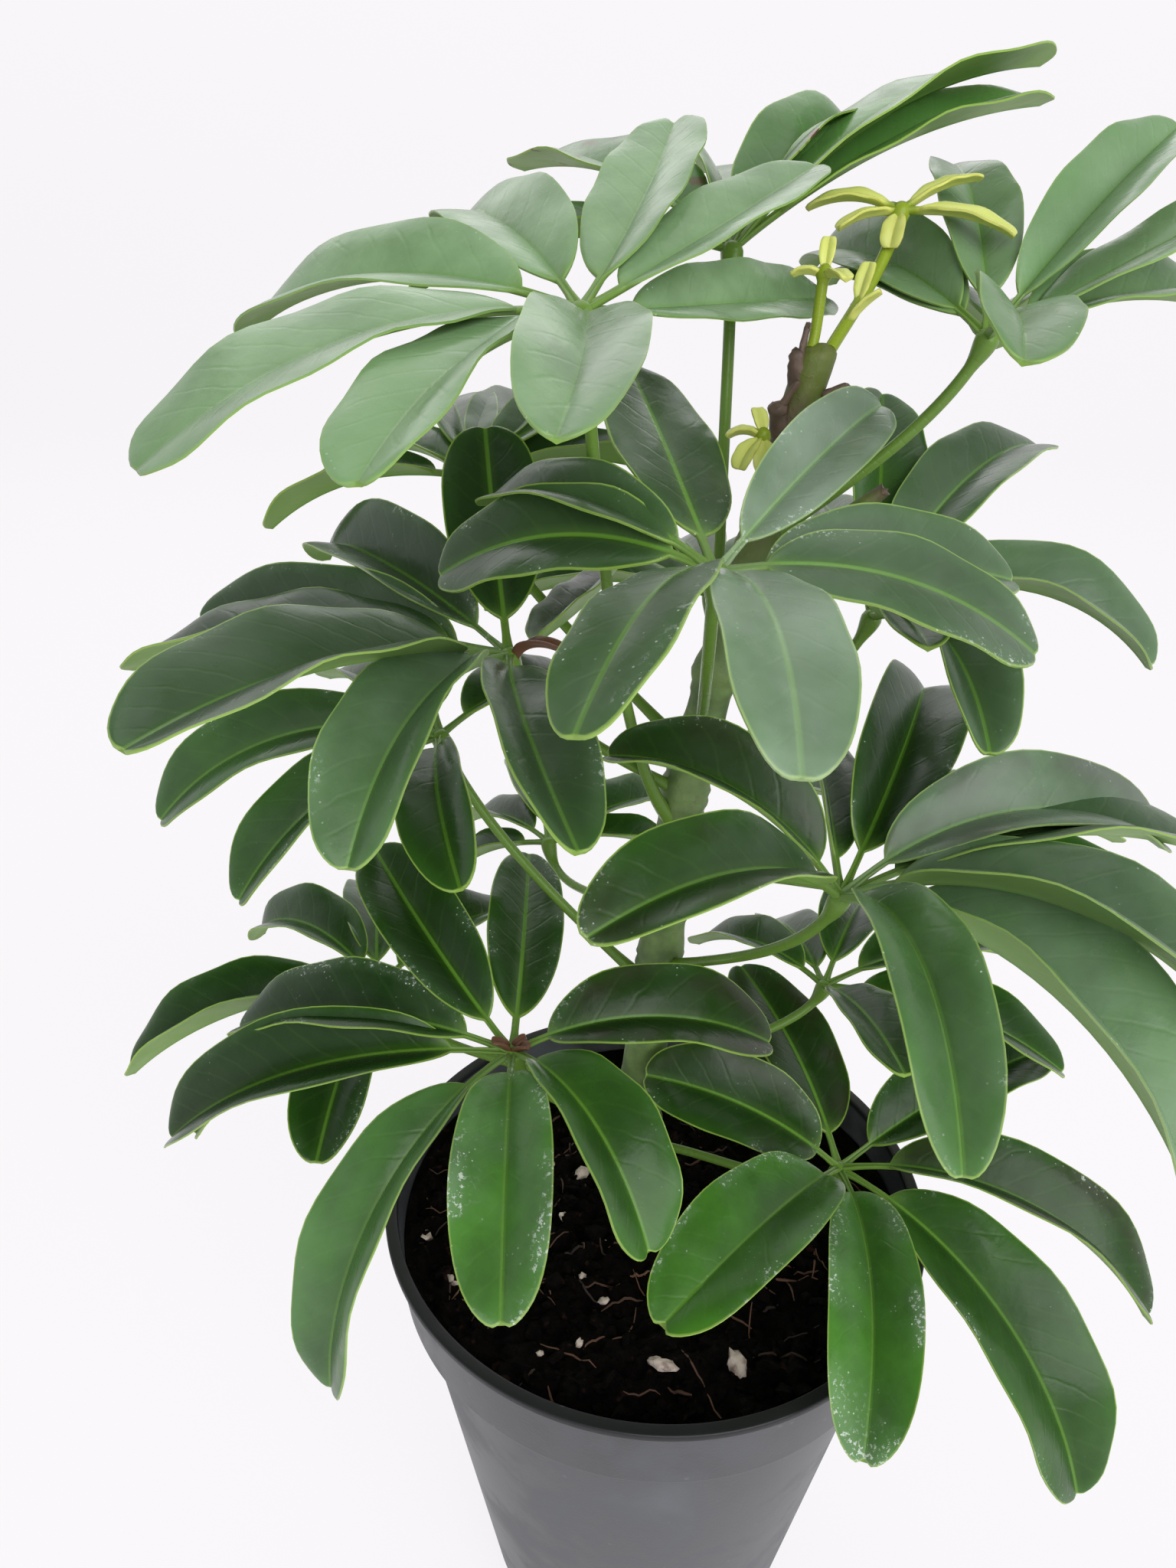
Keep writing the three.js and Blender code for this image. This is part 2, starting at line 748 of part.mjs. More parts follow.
const potPlastic = new THREE.MeshStandardMaterial({ color: 0x34373c, roughness: 0.5, metalness: 0 });
const pottingMix = new THREE.MeshStandardMaterial({ color: 0x1a1412, roughness: 0.95, metalness: 0 });
const stemBark = new THREE.MeshStandardMaterial({ color: 0x7c9155, roughness: 0.7, metalness: 0 });
const leafGreen = new THREE.MeshStandardMaterial({ color: 0x2b5a2c, roughness: 0.4, metalness: 0 });
const youngGreen = new THREE.MeshStandardMaterial({ color: 0xb9c85a, roughness: 0.5, metalness: 0 });

const plant = new THREE.Group();

function place(name, solid, material) {
  const mesh = new THREE.Mesh(geometryFrom(solid), material);
  mesh.name = name;
  plant.add(mesh);
}

const stemClearance = stemShell(fitGap);
place("pot", potSolid(), potPlastic);
place("soil", soilSolid(stemClearance), pottingMix);
place("stem", stemSolid(), stemBark);
for (const [name, form] of Object.entries(leaves)) {
  place(name, leafSolid(form, stemClearance), leafGreen);
}
for (const [name, form] of Object.entries(youngLeaves)) {
  place(name, leafSolid(form, stemClearance), youngGreen);
}

export default plant;
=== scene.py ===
# Looks for a potted dwarf umbrella tree. The plant's own sizes are in millimetres, as in
# the solids; every mesh is made in metres. +Z is up, +X right and +Y away from the camera.
import math
import random

import bmesh
import bpy
import numpy as np
from mathutils import Matrix, Vector, noise


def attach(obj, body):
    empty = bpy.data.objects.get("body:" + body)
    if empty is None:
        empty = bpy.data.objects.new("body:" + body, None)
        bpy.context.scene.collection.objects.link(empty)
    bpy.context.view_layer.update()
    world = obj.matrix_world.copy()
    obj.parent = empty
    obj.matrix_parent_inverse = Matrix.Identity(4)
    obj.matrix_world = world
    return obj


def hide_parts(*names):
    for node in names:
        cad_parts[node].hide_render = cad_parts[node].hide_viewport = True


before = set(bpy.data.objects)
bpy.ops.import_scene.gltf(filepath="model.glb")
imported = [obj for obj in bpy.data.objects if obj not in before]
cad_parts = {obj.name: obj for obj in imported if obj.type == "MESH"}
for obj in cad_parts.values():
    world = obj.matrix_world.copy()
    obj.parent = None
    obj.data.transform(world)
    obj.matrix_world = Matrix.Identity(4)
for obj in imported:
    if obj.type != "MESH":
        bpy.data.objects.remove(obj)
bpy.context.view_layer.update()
mm = 0.001
up = np.array((0.0, 0.0, 1.0))


# One leaflet: compass heading from +X towards +Y, slope at the hub, fall of the slope by
# the tip, length, roll of the right-hand edge upwards, swing in plan, width, and fold of
# each half upwards. The looks are: curl (the last quarter turns down), twist, wave, notch
# at the tip, dust, purple, brown, haze and sheen (a pale painted sheen over the blade, not
# its own colour) and fresh (deep to fresh green).
def leaflet(heading, rise, droop, length, roll, swing, width, fold=30, **looks):
    form = dict(curl=0, twist=0, wave=0.4, notch=0.6, dust=0.25, purple=0, brown=0, haze=0)
    form.update(heading=heading, rise=rise, droop=droop, length=length, roll=roll, swing=swing)
    form.update(width=width, fold=fold)
    form.update(looks)
    return form


# The leaves. The hub is where the leaflets meet, and foot is how high up the stem the petiole
# starts. Below bends the petiole under its hub, and bracts are small scales at a share of the
# petiole's length. The tone and sheen value paints a pale sheen over a leaf, a painted
# highlight and not the leaf's own colour.
leaves = {
    "leaf_crown_left": dict(
        hub=(-17.5, -13.5, 303.5),
        tone=1,
        foot=207,
        below=(1, 17, -24),
        leaflets=[
            leaflet(157, 18, 47, 67, 24, -10, 22.5, 24, curl=8, dust=0.2),
            leaflet(212, 7, 45, 68, 6, 6, 26, 13, dust=0.2),
            leaflet(250, 0, 28, 59, -12, 15, 20, 21, dust=0.2, notch=1.0, fresh=1.5),
            leaflet(273, 4, 24, 57, 5, -16, 18, 31, dust=0.2),
            leaflet(54, 0, 2, 69, -36, 16, 15.5, 25, dust=0.2),
            leaflet(48, 22, 2, 56, -7, 9, 17, 20, dust=0.2),
            leaflet(78, 28, 2, 60, 8, 11, 17.5, 20, dust=0.1, notch=2.2),
            leaflet(119, 27, 29, 58, 20, 2, 20.5, 26, curl=38, dust=0.3),
        ],
    ),
    "leaf_crown_back": dict(
        hub=(4.5, 29, 310.5),
        tone=0.25,
        foot=242,
        leaflets=[
            leaflet(34, 46, 42, 76, 8, -1, 25, 13, dust=0.1, fresh=1.3),
            leaflet(30, 37, 32, 70, -7, 3, 24, 24, dust=0.1, purple=0.2, fresh=1.4),
            leaflet(62, 44, 39, 58, 4, -6, 19.5, 31, twist=-50, curl=75, brown=0.2, fresh=0.8),
            leaflet(97, 36, 41, 50, -19, 6, 17, dust=0.1, purple=0.4, fresh=0.8),
            leaflet(133, 31, 39, 66, 9, 0, 22.5, 23, dust=0.1, brown=0.12, fresh=1),
            leaflet(172, 15, 47, 62, 7, 2, 20.5, 26, dust=0.1, fresh=0.5),
        ],
    ),
    "leaf_crown_right": dict(
        hub=(46, 11.5, 299),
        tone=0.7,
        foot=264,
        leaflets=[
            leaflet(115, 27, 36, 52, 35, -3, 16, 28, curl=45, dust=0.1, fresh=0.1),
            leaflet(115, 28, 36, 60, 34, -10, 19, 34, curl=30, dust=0.1, fresh=0.1),
            leaflet(91, 46, 34, 56, -1, 5, 15.5, 23, curl=15, dust=0.1, fresh=0.1),
            leaflet(49, 39, 19, 66, -15, 8, 18, 40, dust=0.1, fresh=1, haze=0.16),
            leaflet(18, 27, 2, 64, 0, 5, 19.5, 12, dust=0.1, purple=0.3, fresh=0.8, haze=0.05),
            leaflet(30, 21, 37, 58, -20, 0, 20, dust=0.1, fresh=0.5),
            leaflet(263, 26, 48, 49, 13, -7, 17, fresh=0.4),
            leaflet(75, 18, 50, 55, 0, 0, 19),
        ],
    ),
    "leaf_upper_front": dict(
        hub=(4, -28, 270),
        tone=0.12,
        foot=228,
        leaflets=[
            leaflet(108, 23, 2, 59, -12, 3, 20, 5, dust=0.4, fresh=0.05, haze=0.08),
            leaflet(55, 31, 17, 50, -33, 4, 15, 31, dust=0.5, curl=10, fresh=0.3, haze=0.6),
            leaflet(29, 3, 21, 58, -32, -4, 18.5, 33, dust=0.5, fresh=0.25, haze=0.25),
            leaflet(358, 16, 56, 50, -24, -4, 18, 8, dust=0.5, fresh=0.2, haze=0.2),
            leaflet(280, 21, 57, 56, 6, -14, 16.5, 15, dust=0.6, fresh=0.6, haze=0.6),
            leaflet(253, 25, 60, 55, -16, 0, 16, 8, dust=0.7, fresh=0.2, haze=0.14),
            leaflet(164, 22, 60, 48, 36, 3, 18.5, 17, dust=0.4, fresh=0.05, haze=0.02),
            leaflet(144, 32, 59, 50, 19, -24, 14, dust=0.4, fresh=0.05, haze=0.05),
        ],
    ),
    "leaf_upper_left": dict(
        hub=(-30, -6.5, 247.5),
        tone=0.05,
        foot=214,
        leaflets=[
            leaflet(138, 21, 26, 61, 25, -5, 23.5, 46, dust=0.8, curl=55, fresh=0.1, haze=0.15),
            leaflet(166, 7, 17, 64, 29, -6, 23, 37, dust=0.8, fresh=0.08, haze=0.12),
            leaflet(232, 21, 34, 71, 1, 9, 27.5, 28, dust=0.4, fresh=0.12, haze=0.1),
            leaflet(254, 17, 63, 58, -6, 18, 21.5, 37, dust=0.4, fresh=0.5, haze=0.27),
            leaflet(105, 42, 2, 49, 3, -3, 19, 20, dust=0.05, fresh=0.02),
            leaflet(73, 4, 2, 53, 25, 20, 16, 28, fresh=0.02),
            leaflet(288, 9, 31, 59, 14, 20, 19, 37, dust=0.5, fresh=0.15, haze=0.08),
            leaflet(181, 15, 39, 70, -4, -8, 25, 26, dust=0.3, fresh=0.05, haze=0.05),
        ],
        bracts=[
            dict(at=0.95, form=leaflet(330, 80, 120, 16, 0, 60, 3.4, brown=1)),
        ],
    ),
    "leaf_middle_left": dict(
        hub=(-48, 16.5, 220.5),
        tone=0.02,
        foot=166,
        leaflets=[
            leaflet(192, 20, 73, 64, 27, 4, 19.5, 29, dust=0.4, fresh=0.45, haze=0.07),
            leaflet(215, -4, 54, 53, 10, -2, 19.5, 33, dust=0.5, fresh=0.4, haze=0.06),
            leaflet(286, 9, 33, 50, -27, 19, 18, 38, dust=0.3, fresh=0.2),
            leaflet(134, 18, 42, 50, 0, 0, 17, fresh=0.3),
            leaflet(110, 21, 49, 59, 0, 0, 20.5),
            leaflet(60, 18, 50, 56, 0, 0, 19.5),
        ],
    ),
    "leaf_low_front_left": dict(
        hub=(-28, -22.5, 173.5),
        foot=126,
        leaflets=[
            leaflet(277, 18, 45, 58, -7, 0, 20, 33, dust=1.3, notch=1.0, fresh=1.2, haze=0.12),
            leaflet(237, 0, 89, 74, -12, 16, 21.5, 32, dust=0.3, fresh=0.8, haze=0.17),
            leaflet(183, 10, 60, 77, 22, -13, 24, 44, dust=0.35, fresh=0.08),
            leaflet(169, 19, 54, 63, 7, -8, 22.5, 34, dust=0.8, curl=6, fresh=0.08),
            leaflet(132, 23, 6, 57, 15, -11, 20, 32, dust=0.45, fresh=0.07),
            leaflet(95, 9, 2, 61, -12, 3, 17, 14, dust=0.5, fresh=0.15),
            leaflet(10, 34, 69, 53, -14, 1, 21.5, dust=0.4, purple=0.5, fresh=0.15),
            leaflet(310, 28, 90, 50, 13, -9, 22, 33, dust=0.5, notch=1.0, fresh=0.5, haze=0.02),
        ],
        bracts=[
            dict(at=1.0, form=leaflet(200, 70, 60, 6, 0, 0, 2.6, brown=1)),
            dict(at=1.0, form=leaflet(330, 60, 40, 6, 0, 0, 2.6, brown=1)),
            dict(at=1.0, form=leaflet(20, 75, 60, 5, 0, 0, 2.4, brown=1)),
        ],
    ),
    "leaf_low_front_right": dict(
        hub=(40.1, -2.1, 130.4),
        foot=118,
        leaflets=[
            leaflet(234, 35, 53, 67, 2, -14, 24, 29, dust=1.5, notch=1.6, fresh=0.95, haze=0.03),
            leaflet(175, 47, 47, 49, 34, -5, 22, 32, dust=0.5, purple=0.3, fresh=0.15),
            leaflet(111, 13, 2, 61, -9, 24, 22, 17, dust=0.4, purple=0.5, fresh=0.12),
            leaflet(33, 20, 20, 62, -6, -8, 23, 33, dust=0.5, fresh=0.15),
            leaflet(345, 28, 86, 75, -2, -8, 24, 40, dust=0.6, purple=0.5, fresh=0.25),
            leaflet(317, 6, 76, 80, -9, -13, 27.5, 31, dust=0.5, fresh=0.4, haze=0.02),
            leaflet(269, 19, 55, 64, -2, -24, 21.5, 36, dust=1.4, notch=1.2, fresh=1.1, haze=0.06),
        ],
    ),
    "leaf_middle_right": dict(
        hub=(28.5, -25, 214),
        tone=0.03,
        foot=172,
        leaflets=[
            leaflet(160, 57, 72, 50, 13, -1, 21, 45, dust=0.4, purple=0.35, fresh=0.1),
            leaflet(225, 47, 63, 61, 13, -9, 20.5, 35, dust=0.4, purple=0.3, fresh=0.2),
            leaflet(70, 32, 31, 67, -16, 15, 23, 39, dust=0.4, curl=50, fresh=0.08),
            leaflet(92, 22, 31, 60, -35, -1, 15, 39, dust=0.3, fresh=0.1),
            leaflet(18, 44, 82, 67, -19, -8, 21, 37, dust=0.5, purple=0.6, fresh=0.35, haze=0.4),
            leaflet(332, 40, 86, 71, 8, -13, 24.5, 33, dust=0.45, fresh=0.4, haze=0.25),
            leaflet(313, 25, 83, 77, 10, -19, 29, 40, dust=0.6, fresh=1.0, haze=0.42),
            leaflet(279, 41, 87, 66, -4, -14, 16.5, 38, dust=0.5, fresh=0.8, haze=0.17),
            leaflet(14, 32, 57, 70, 3, 5, 25, dust=0.3, fresh=0.2, haze=0.1),
        ],
    ),
    "leaf_upper_right": dict(
        hub=(35.5, 23, 247.5),
        tone=0.1,
        foot=217,
        leaflets=[
            leaflet(347, 42, 92, 56, -9, -9, 22, 34, dust=0.3, fresh=0.4, haze=0.34),
            leaflet(49, 55, 61, 66, -9, -1, 20, 26, dust=0.3, curl=15, fresh=0.2, haze=0.2),
            leaflet(286, 29, 74, 52, 10, -13, 18.5, 39, dust=0.4, fresh=0.1, haze=0.08),
            leaflet(274, 29, 34, 42, -1, 0, 14, 31),
            leaflet(86, 47, 16, 56, -21, 2, 19.5),
            leaflet(99, 30, 34, 50, 0, 2, 17),
        ],
    ),
    "leaf_low_left": dict(
        hub=(-66.5, 19.5, 153.5),
        foot=129,
        leaflets=[
            leaflet(196, 12, 57, 62, -3, -5, 24.5, 45, dust=0.35, fresh=0.2),
            leaflet(142, 23, 62, 55, 4, 14, 21, 32, dust=0.3, curl=30, twist=60, fresh=0.2),
            leaflet(270, 13, 41, 50, -3, 0, 19, dust=0.4, fresh=0.08),
            leaflet(219, 1, 54, 52, -10, 0, 18),
            leaflet(104, 18, 49, 57, 0, 0, 19.5),
            leaflet(60, 18, 50, 55, 0, 0, 19),
        ],
    ),
    "leaf_low_right": dict(
        hub=(37, 29.5, 155.5),
        foot=138,
        leaflets=[
            leaflet(346, 16, 52, 57, 0, 2, 20.5, fresh=0.2),
            leaflet(131, 12, 57, 48, 1, 0, 16.5, 31, fresh=0.2),
            leaflet(285, 32, 37, 45, 0, -3, 15.5, fresh=0.15),
            leaflet(24, 23, 60, 64, 0, 0, 22, fresh=0.15),
            leaflet(101, 5, 41, 49, 1, 0, 17),
            leaflet(71, 18, 50, 56, 0, 0, 19.5),
        ],
    ),
    "leaf_upper_back_left": dict(
        hub=(-44.5, 38, 268),
        tone=0.1,
        foot=222,
        leaflets=[
            leaflet(140, 21, 56, 48, 0, 4, 16.5),
            leaflet(106, 22, 30, 55, -6, 4, 19),
            leaflet(170, 8, 50, 50, 0, 3, 17),
            leaflet(82, 18, 22, 57, -1, 0, 20, 31),
            leaflet(58, 26, 41, 56, -5, 0, 19.5),
            leaflet(30, 17, 50, 56, 0, 0, 19.5),
        ],
    ),
    "leaf_middle_back_left": dict(
        hub=(-31.5, 61.5, 171),
        foot=178,
        leaflets=[
            leaflet(132, 8, 57, 50, 0, 0, 17),
            leaflet(160, -8, 60, 48, 0, 0, 16.5),
            leaflet(104, 20, 49, 54, 1, 0, 18.5),
            leaflet(74, 16, 50, 54, 1, -1, 18.5),
            leaflet(45, 19, 50, 54, 0, 0, 18.5),
            leaflet(20, 15, 70, 45, 0, 0, 15.5),
        ],
    ),
    "leaf_upper_back": dict(
        hub=(5.5, 62.5, 238),
        tone=0.15,
        foot=241,
        leaflets=[
            leaflet(19, 18, 50, 56, 0, 0, 19.5),
            leaflet(61, 17, 50, 58, 0, 0, 20),
            leaflet(101, 19, 49, 60, 0, 0, 20.5),
            leaflet(140, 18, 50, 58, 0, 0, 20),
            leaflet(180, 18, 49, 54, 0, 0, 18.5),
        ],
    ),
    "leaf_middle_back_right": dict(
        hub=(61.5, 50, 181),
        foot=190,
        leaflets=[
            leaflet(350, 18, 51, 54, 0, 0, 18.5),
            leaflet(25, 19, 51, 58, 0, 0, 20, 31),
            leaflet(60, 16, 51, 60, 0, 0, 20.5),
            leaflet(95, 19, 51, 58, 0, 0, 20, 31),
            leaflet(130, 18, 50, 54, 0, 0, 18.5),
        ],
    ),
}

# The pale new growth by the top of the stem, built as small leaves on slim petioles.
youngLeaves = {
    "young_leaf_top": dict(
        hub=(32, 27, 317),
        root=(21, 10, 297),
        radius=1.1,
        leaflets=[
            leaflet(165, 30, 60, 17, 10, 0, 6, 20),
            leaflet(195, 10, 50, 12, 0, 0, 4, 20),
            leaflet(250, -20, 60, 8, 0, 0, 4, 20, brown=0.6),
            leaflet(20, 40, 40, 16, 0, 0, 5, 20),
            leaflet(345, 10, 40, 20, -10, 0, 6, 20),
        ],
        bracts=[
            dict(at=0.2, form=leaflet(350, 60, 30, 8, 0, 0, 3, 20)),
            dict(at=0.35, form=leaflet(60, 70, 20, 8, 0, 0, 3, 20)),
        ],
    ),
    "young_leaf_small": dict(
        hub=(19, 11.5, 308),
        root=(17.8, 9, 297),
        radius=0.9,
        leaflets=[
            leaflet(170, 30, 70, 6, 0, 0, 3, 20),
            leaflet(80, 70, 30, 7, 0, 0, 2.6, 20),
            leaflet(300, 20, 50, 7, 0, 0, 3, 20),
        ],
    ),
    "young_leaf_side": dict(
        hub=(11, 3, 284),
        root=(12, 10, 274),
        radius=0.9,
        leaflets=[
            leaflet(175, 40, 90, 7, 0, 0, 3, 20),
            leaflet(230, -10, 60, 8, 0, 0, 4, 20),
            leaflet(275, -25, 50, 7, 0, 0, 4, 20),
            leaflet(110, 65, 40, 6, 0, 0, 2.6, 20),
        ],
    ),
}

# Numbers that the leaves share
blade = dict(
    thickness=0.8, rimThickness=0.35, rimSharpness=4, widestLean=1.15, fullness=2.5,
    bluntness=2.0, leastHalfWidth=0.12, stalkShare=0.15, stalkHalfWidth=0.75, stalkFlare=0.5,
    stalkThickness=1.2, stations=30, stalkStations=5, walkSteps=240, outlineSteps=500,
    curlFrom=0.75, groove=0.16, ridge=0.4, midribWidth=0.6, midribFading=0.6,
    arch=0.18, archFall=1.4, tipFlat=0.35, notchWidth=1.1,
    waves=(2.2, 3.4), waveShift=1.7, waveRise=2.5, usualWidth=20, usualFresh=(0.1, 0.4),
    columns=(0.0, 0.05, 0.13, 0.27, 0.45, 0.65, 0.82, 0.94, 1.0),
)
petiole = dict(
    radius=1.05, footRadius=1.9, footShare=0.25, hubRadius=2.0, hubShare=0.05, youngHub=1.5,
    leavingOut=0.2, leavingUp=0.16, arrivingOut=0.1, arrivingUp=0.28,
    capRadii=(0.86, 0.45), capStep=0.6, sides=12, stations=40, pathSteps=400,
)

# What the materials read at each point: its way from the midrib, from the edge and along the
# leaflet in millimetres, whether it is on the upper side or the stalk, and the leaflet's looks.
# Of these, tone and haze on the leaves are painted sheen; on the stem tone only blends
# towards the stem's own top colour.
markNames = (
    "offset", "edge", "along", "upper", "stalk", "fresh", "dust", "purple", "brown", "tone", "haze",
)


def newShells():
    return dict(points=[], faces=[], marks=[], count=0)


# Adds a closed skin over rings of equal point count, with one row of marks for each point.
def addRings(shells, rings, marks):
    rings = np.asarray(rings)
    ringCount, sides = rings.shape[:2]
    first = shells["count"]
    index = first + np.arange(ringCount * sides).reshape(ringCount, sides)
    turned = np.roll(index, -1, axis=1)
    quads = np.stack((index[:-1], turned[:-1], turned[1:], index[1:]), axis=-1).reshape(-1, 4)
    shells["faces"] += [tuple(quad) for quad in quads.tolist()]
    shells["faces"].append(tuple(index[0][::-1].tolist()))
    shells["faces"].append(tuple(index[-1].tolist()))
    shells["points"].append(rings.reshape(-1, 3))
    shells["marks"].append(np.asarray(marks, dtype=float).reshape(-1, len(markNames)))
    shells["count"] += ringCount * sides


def smooth(low, high, value):
    share = np.clip((value - low) / (high - low), 0, 1)
    return share * share * (3 - 2 * share)


def finishPiece(name, mesh, material, nodes, angle=60):
    mesh.materials.append(material)
    piece = bpy.data.objects.new(name, mesh)
    bpy.context.scene.collection.objects.link(piece)
    for item in bpy.context.selected_objects:
        item.select_set(False)
    piece.select_set(True)
    bpy.context.view_layer.objects.active = piece
    bpy.ops.object.shade_smooth_by_angle(angle=math.radians(angle))
    piece.select_set(False)
    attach(piece, "root")
    if nodes:
        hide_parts(*nodes)
    return piece


def meshFromShells(name, shells):
    mesh = bpy.data.meshes.new(name)
    points = np.concatenate(shells["points"]) * mm
    marks = np.concatenate(shells["marks"])
    mesh.from_pydata(points.tolist(), [], shells["faces"])
    for column, mark in enumerate(markNames):
        layer = mesh.attributes.new(mark, "FLOAT", "POINT")
        layer.data.foreach_set("value", np.ascontiguousarray(marks[:, column], dtype=np.float32))
    mesh.update()
    return mesh


# The midrib's place and its three directions at each share of the leaflet's length.
def midribAt(start, form, shares):
    steps = blade["walkSteps"]
    middles = (np.arange(steps) + 0.5) / steps
    walked = np.cumsum(forwardAt(form, middles), axis=0) * form["length"] / steps
    walked = np.vstack((np.zeros(3), walked)) + np.asarray(start, dtype=float)
    ends = np.arange(steps + 1) / steps
    place = np.stack([np.interp(shares, ends, walked[:, axis]) for axis in range(3)], axis=-1)
    forward = forwardAt(form, shares)
    heading = headingAt(form, shares)
    level = np.stack((np.sin(heading), -np.cos(heading), np.zeros_like(heading)), axis=-1)
    steep = np.cross(level, forward)
    roll = np.radians(form["roll"] + form["twist"] * (shares - 0.5))[:, None]
    right = level * np.cos(roll) + steep * np.sin(roll)
    return place, right, np.cross(right, forward)


def headingAt(form, share):
    return np.radians(form["heading"] + form["swing"] * (share - 0.5))


def forwardAt(form, share):
    slope = np.radians(form["rise"] - form["droop"] * share)
    curled = np.clip((share - blade["curlFrom"]) / (1 - blade["curlFrom"]), 0, 1)
    slope = slope - np.radians(form["curl"]) * curled ** 2
    heading = headingAt(form, share)
    flat = np.cos(slope)
    return np.stack((flat * np.cos(heading), flat * np.sin(heading), np.sin(slope)), axis=-1)


# The share of the blade's own length, past the stalk.
def alongBlade(share):
    return np.clip((share - blade["stalkShare"]) / (1 - blade["stalkShare"]), 0, 1)


# Half the blade's width in millimetres, blended into the stalk at its base.
def halfWidthAt(form, share):
    along = alongBlade(share)
    across = np.abs(2 * along ** blade["widestLean"] - 1)
    outline = (1 - across ** blade["fullness"]) ** (1 / blade["bluntness"]) * form["width"] / 2
    stalk = blade["stalkHalfWidth"] * (1 + blade["stalkFlare"] * smooth(0.1, 0, share))
    stalk = stalk * smooth(1.0, 0.9, along)
    return (outline ** 3 + stalk ** 3) ** (1 / 3)


def stationShares():
    stalk = np.linspace(0, blade["stalkShare"], blade["stalkStations"], endpoint=False)
    swept = (1 - np.cos(np.linspace(0, math.pi, blade["stations"]))) / 2
    swept = blade["stalkShare"] + (1 - blade["stalkShare"]) * swept * 0.999
    return np.concatenate((stalk, swept))


# The two halves of a blade rise from the midrib, arched, and flatten towards the tip.
def foldLift(form, half, along, across):
    beyond = np.abs(across)
    arched = beyond * (1 + blade["arch"] * (1 - blade["archFall"] * beyond ** 2))
    flatter = 1 - blade["tipFlat"] * smooth(0.5, 1, along)
    return math.sin(math.radians(form["fold"])) * (half * flatter)[:, None] * arched[None, :]


# The edges wave up and down, out of step on the two sides.
def waveLift(form, along, across, draw):
    phase = draw.uniform(0, 2 * math.pi)
    ripples = draw.uniform(*blade["waves"])
    sideShift = np.where(across > 0, blade["waveShift"], 0.0)
    ripple = np.sin(2 * math.pi * ripples * along[:, None] + phase + sideShift[None, :])
    swell = smooth(0, 0.25, along) * smooth(1, 0.9, along)
    wave = form["wave"] * form["width"] / blade["usualWidth"]
    return wave * ripple * np.abs(across)[None, :] ** blade["waveRise"] * swell[:, None]


# Both faces of a blade: thick in the stalk, thin at the rim, with the midrib as a groove
# above and a ridge below.
def bladeFaces(lift, shares, across, offset):
    stalky = smooth(blade["stalkShare"] + 0.12, 0, shares)[:, None]
    thickness = blade["thickness"] + (blade["stalkThickness"] - blade["thickness"]) * stalky
    rim = np.abs(across)[None, :] ** blade["rimSharpness"]
    thickness = thickness * (1 - rim) + blade["rimThickness"] * rim
    midrib = np.exp(-(offset / blade["midribWidth"]) ** 2)
    fading = (1 - blade["midribFading"] * alongBlade(shares))[:, None]
    top = lift + thickness / 2 - blade["groove"] * midrib * fading * (1 - stalky)
    bottom = lift - thickness / 2 - blade["ridge"] * midrib * fading * (1 - stalky)
    return top, bottom


def addLeaflet(shells, start, form, draw, tone):
    shares = stationShares()
    along = alongBlade(shares)
    columns = np.array(blade["columns"])
    across = np.concatenate((-columns[::-1], columns[1:]))
    half = np.maximum(halfWidthAt(form, shares), blade["leastHalfWidth"])
    offset = half[:, None] * across[None, :]
    lift = foldLift(form, half, along, across) + waveLift(form, along, across, draw)
    top, bottom = bladeFaces(lift, shares, across, offset)
    wide = offset * math.cos(math.radians(form["fold"]))
    notch = form["notch"] * np.exp(-(offset / blade["notchWidth"]) ** 2)
    back = notch * smooth(0.8, 1, along)[:, None]
    place, right, normal = midribAt(start, form, shares)
    place = place[:, None, :] - np.cross(normal, right)[:, None, :] * back[:, :, None]
    upperSide = pointsAt(place, right, normal, wide, top)
    lowerSide = pointsAt(place, right, normal, wide, bottom)
    rings = np.concatenate((upperSide, lowerSide[:, ::-1]), axis=1)
    fresh = form.get("fresh", draw.uniform(*blade["usualFresh"]))
    facts = (fresh, form["dust"], form["purple"], form["brown"], tone, form["haze"])
    upperMarks = leafletMarks(offset, shares, form, 1.0, facts)
    lowerMarks = leafletMarks(offset, shares, form, 0.0, facts)
    addRings(shells, rings, np.concatenate((upperMarks, lowerMarks[:, ::-1]), axis=1))


def pointsAt(place, right, normal, wide, high):
    sideways = right[:, None, :] * wide[:, :, None]
    upwards = normal[:, None, :] * high[:, :, None]
    return place + sideways + upwards


# How far each point of a blade lies from the nearest point of its outline.
def edgeDistance(form, shares, offset):
    outline = (1 - np.cos(np.linspace(0, math.pi, blade["outlineSteps"]))) / 2
    away = (shares[:, None] - outline[None, :]) * form["length"]
    aside = np.abs(offset)[:, :, None] - halfWidthAt(form, outline)[None, None, :]
    return np.sqrt(away[:, None, :] ** 2 + aside ** 2).min(axis=2)


def leafletMarks(offset, shares, form, upper, facts):
    flat = np.ones_like(offset)
    stalk = smooth(blade["stalkShare"] + 0.06, blade["stalkShare"] - 0.04, shares)
    columns = [
        offset,
        edgeDistance(form, shares, offset),
        shares[:, None] * form["length"] * flat,
        upper * flat,
        stalk[:, None] * flat,
    ]
    columns += [fact * flat for fact in facts]
    return np.stack(columns, axis=-1)


def bezier(points, share):
    a, b, c, d = [np.asarray(point, dtype=float) for point in points]
    t = np.asarray(share)[:, None]
    return a * (1 - t) ** 3 + 3 * b * t * (1 - t) ** 2 + 3 * c * t ** 2 * (1 - t) + d * t ** 3


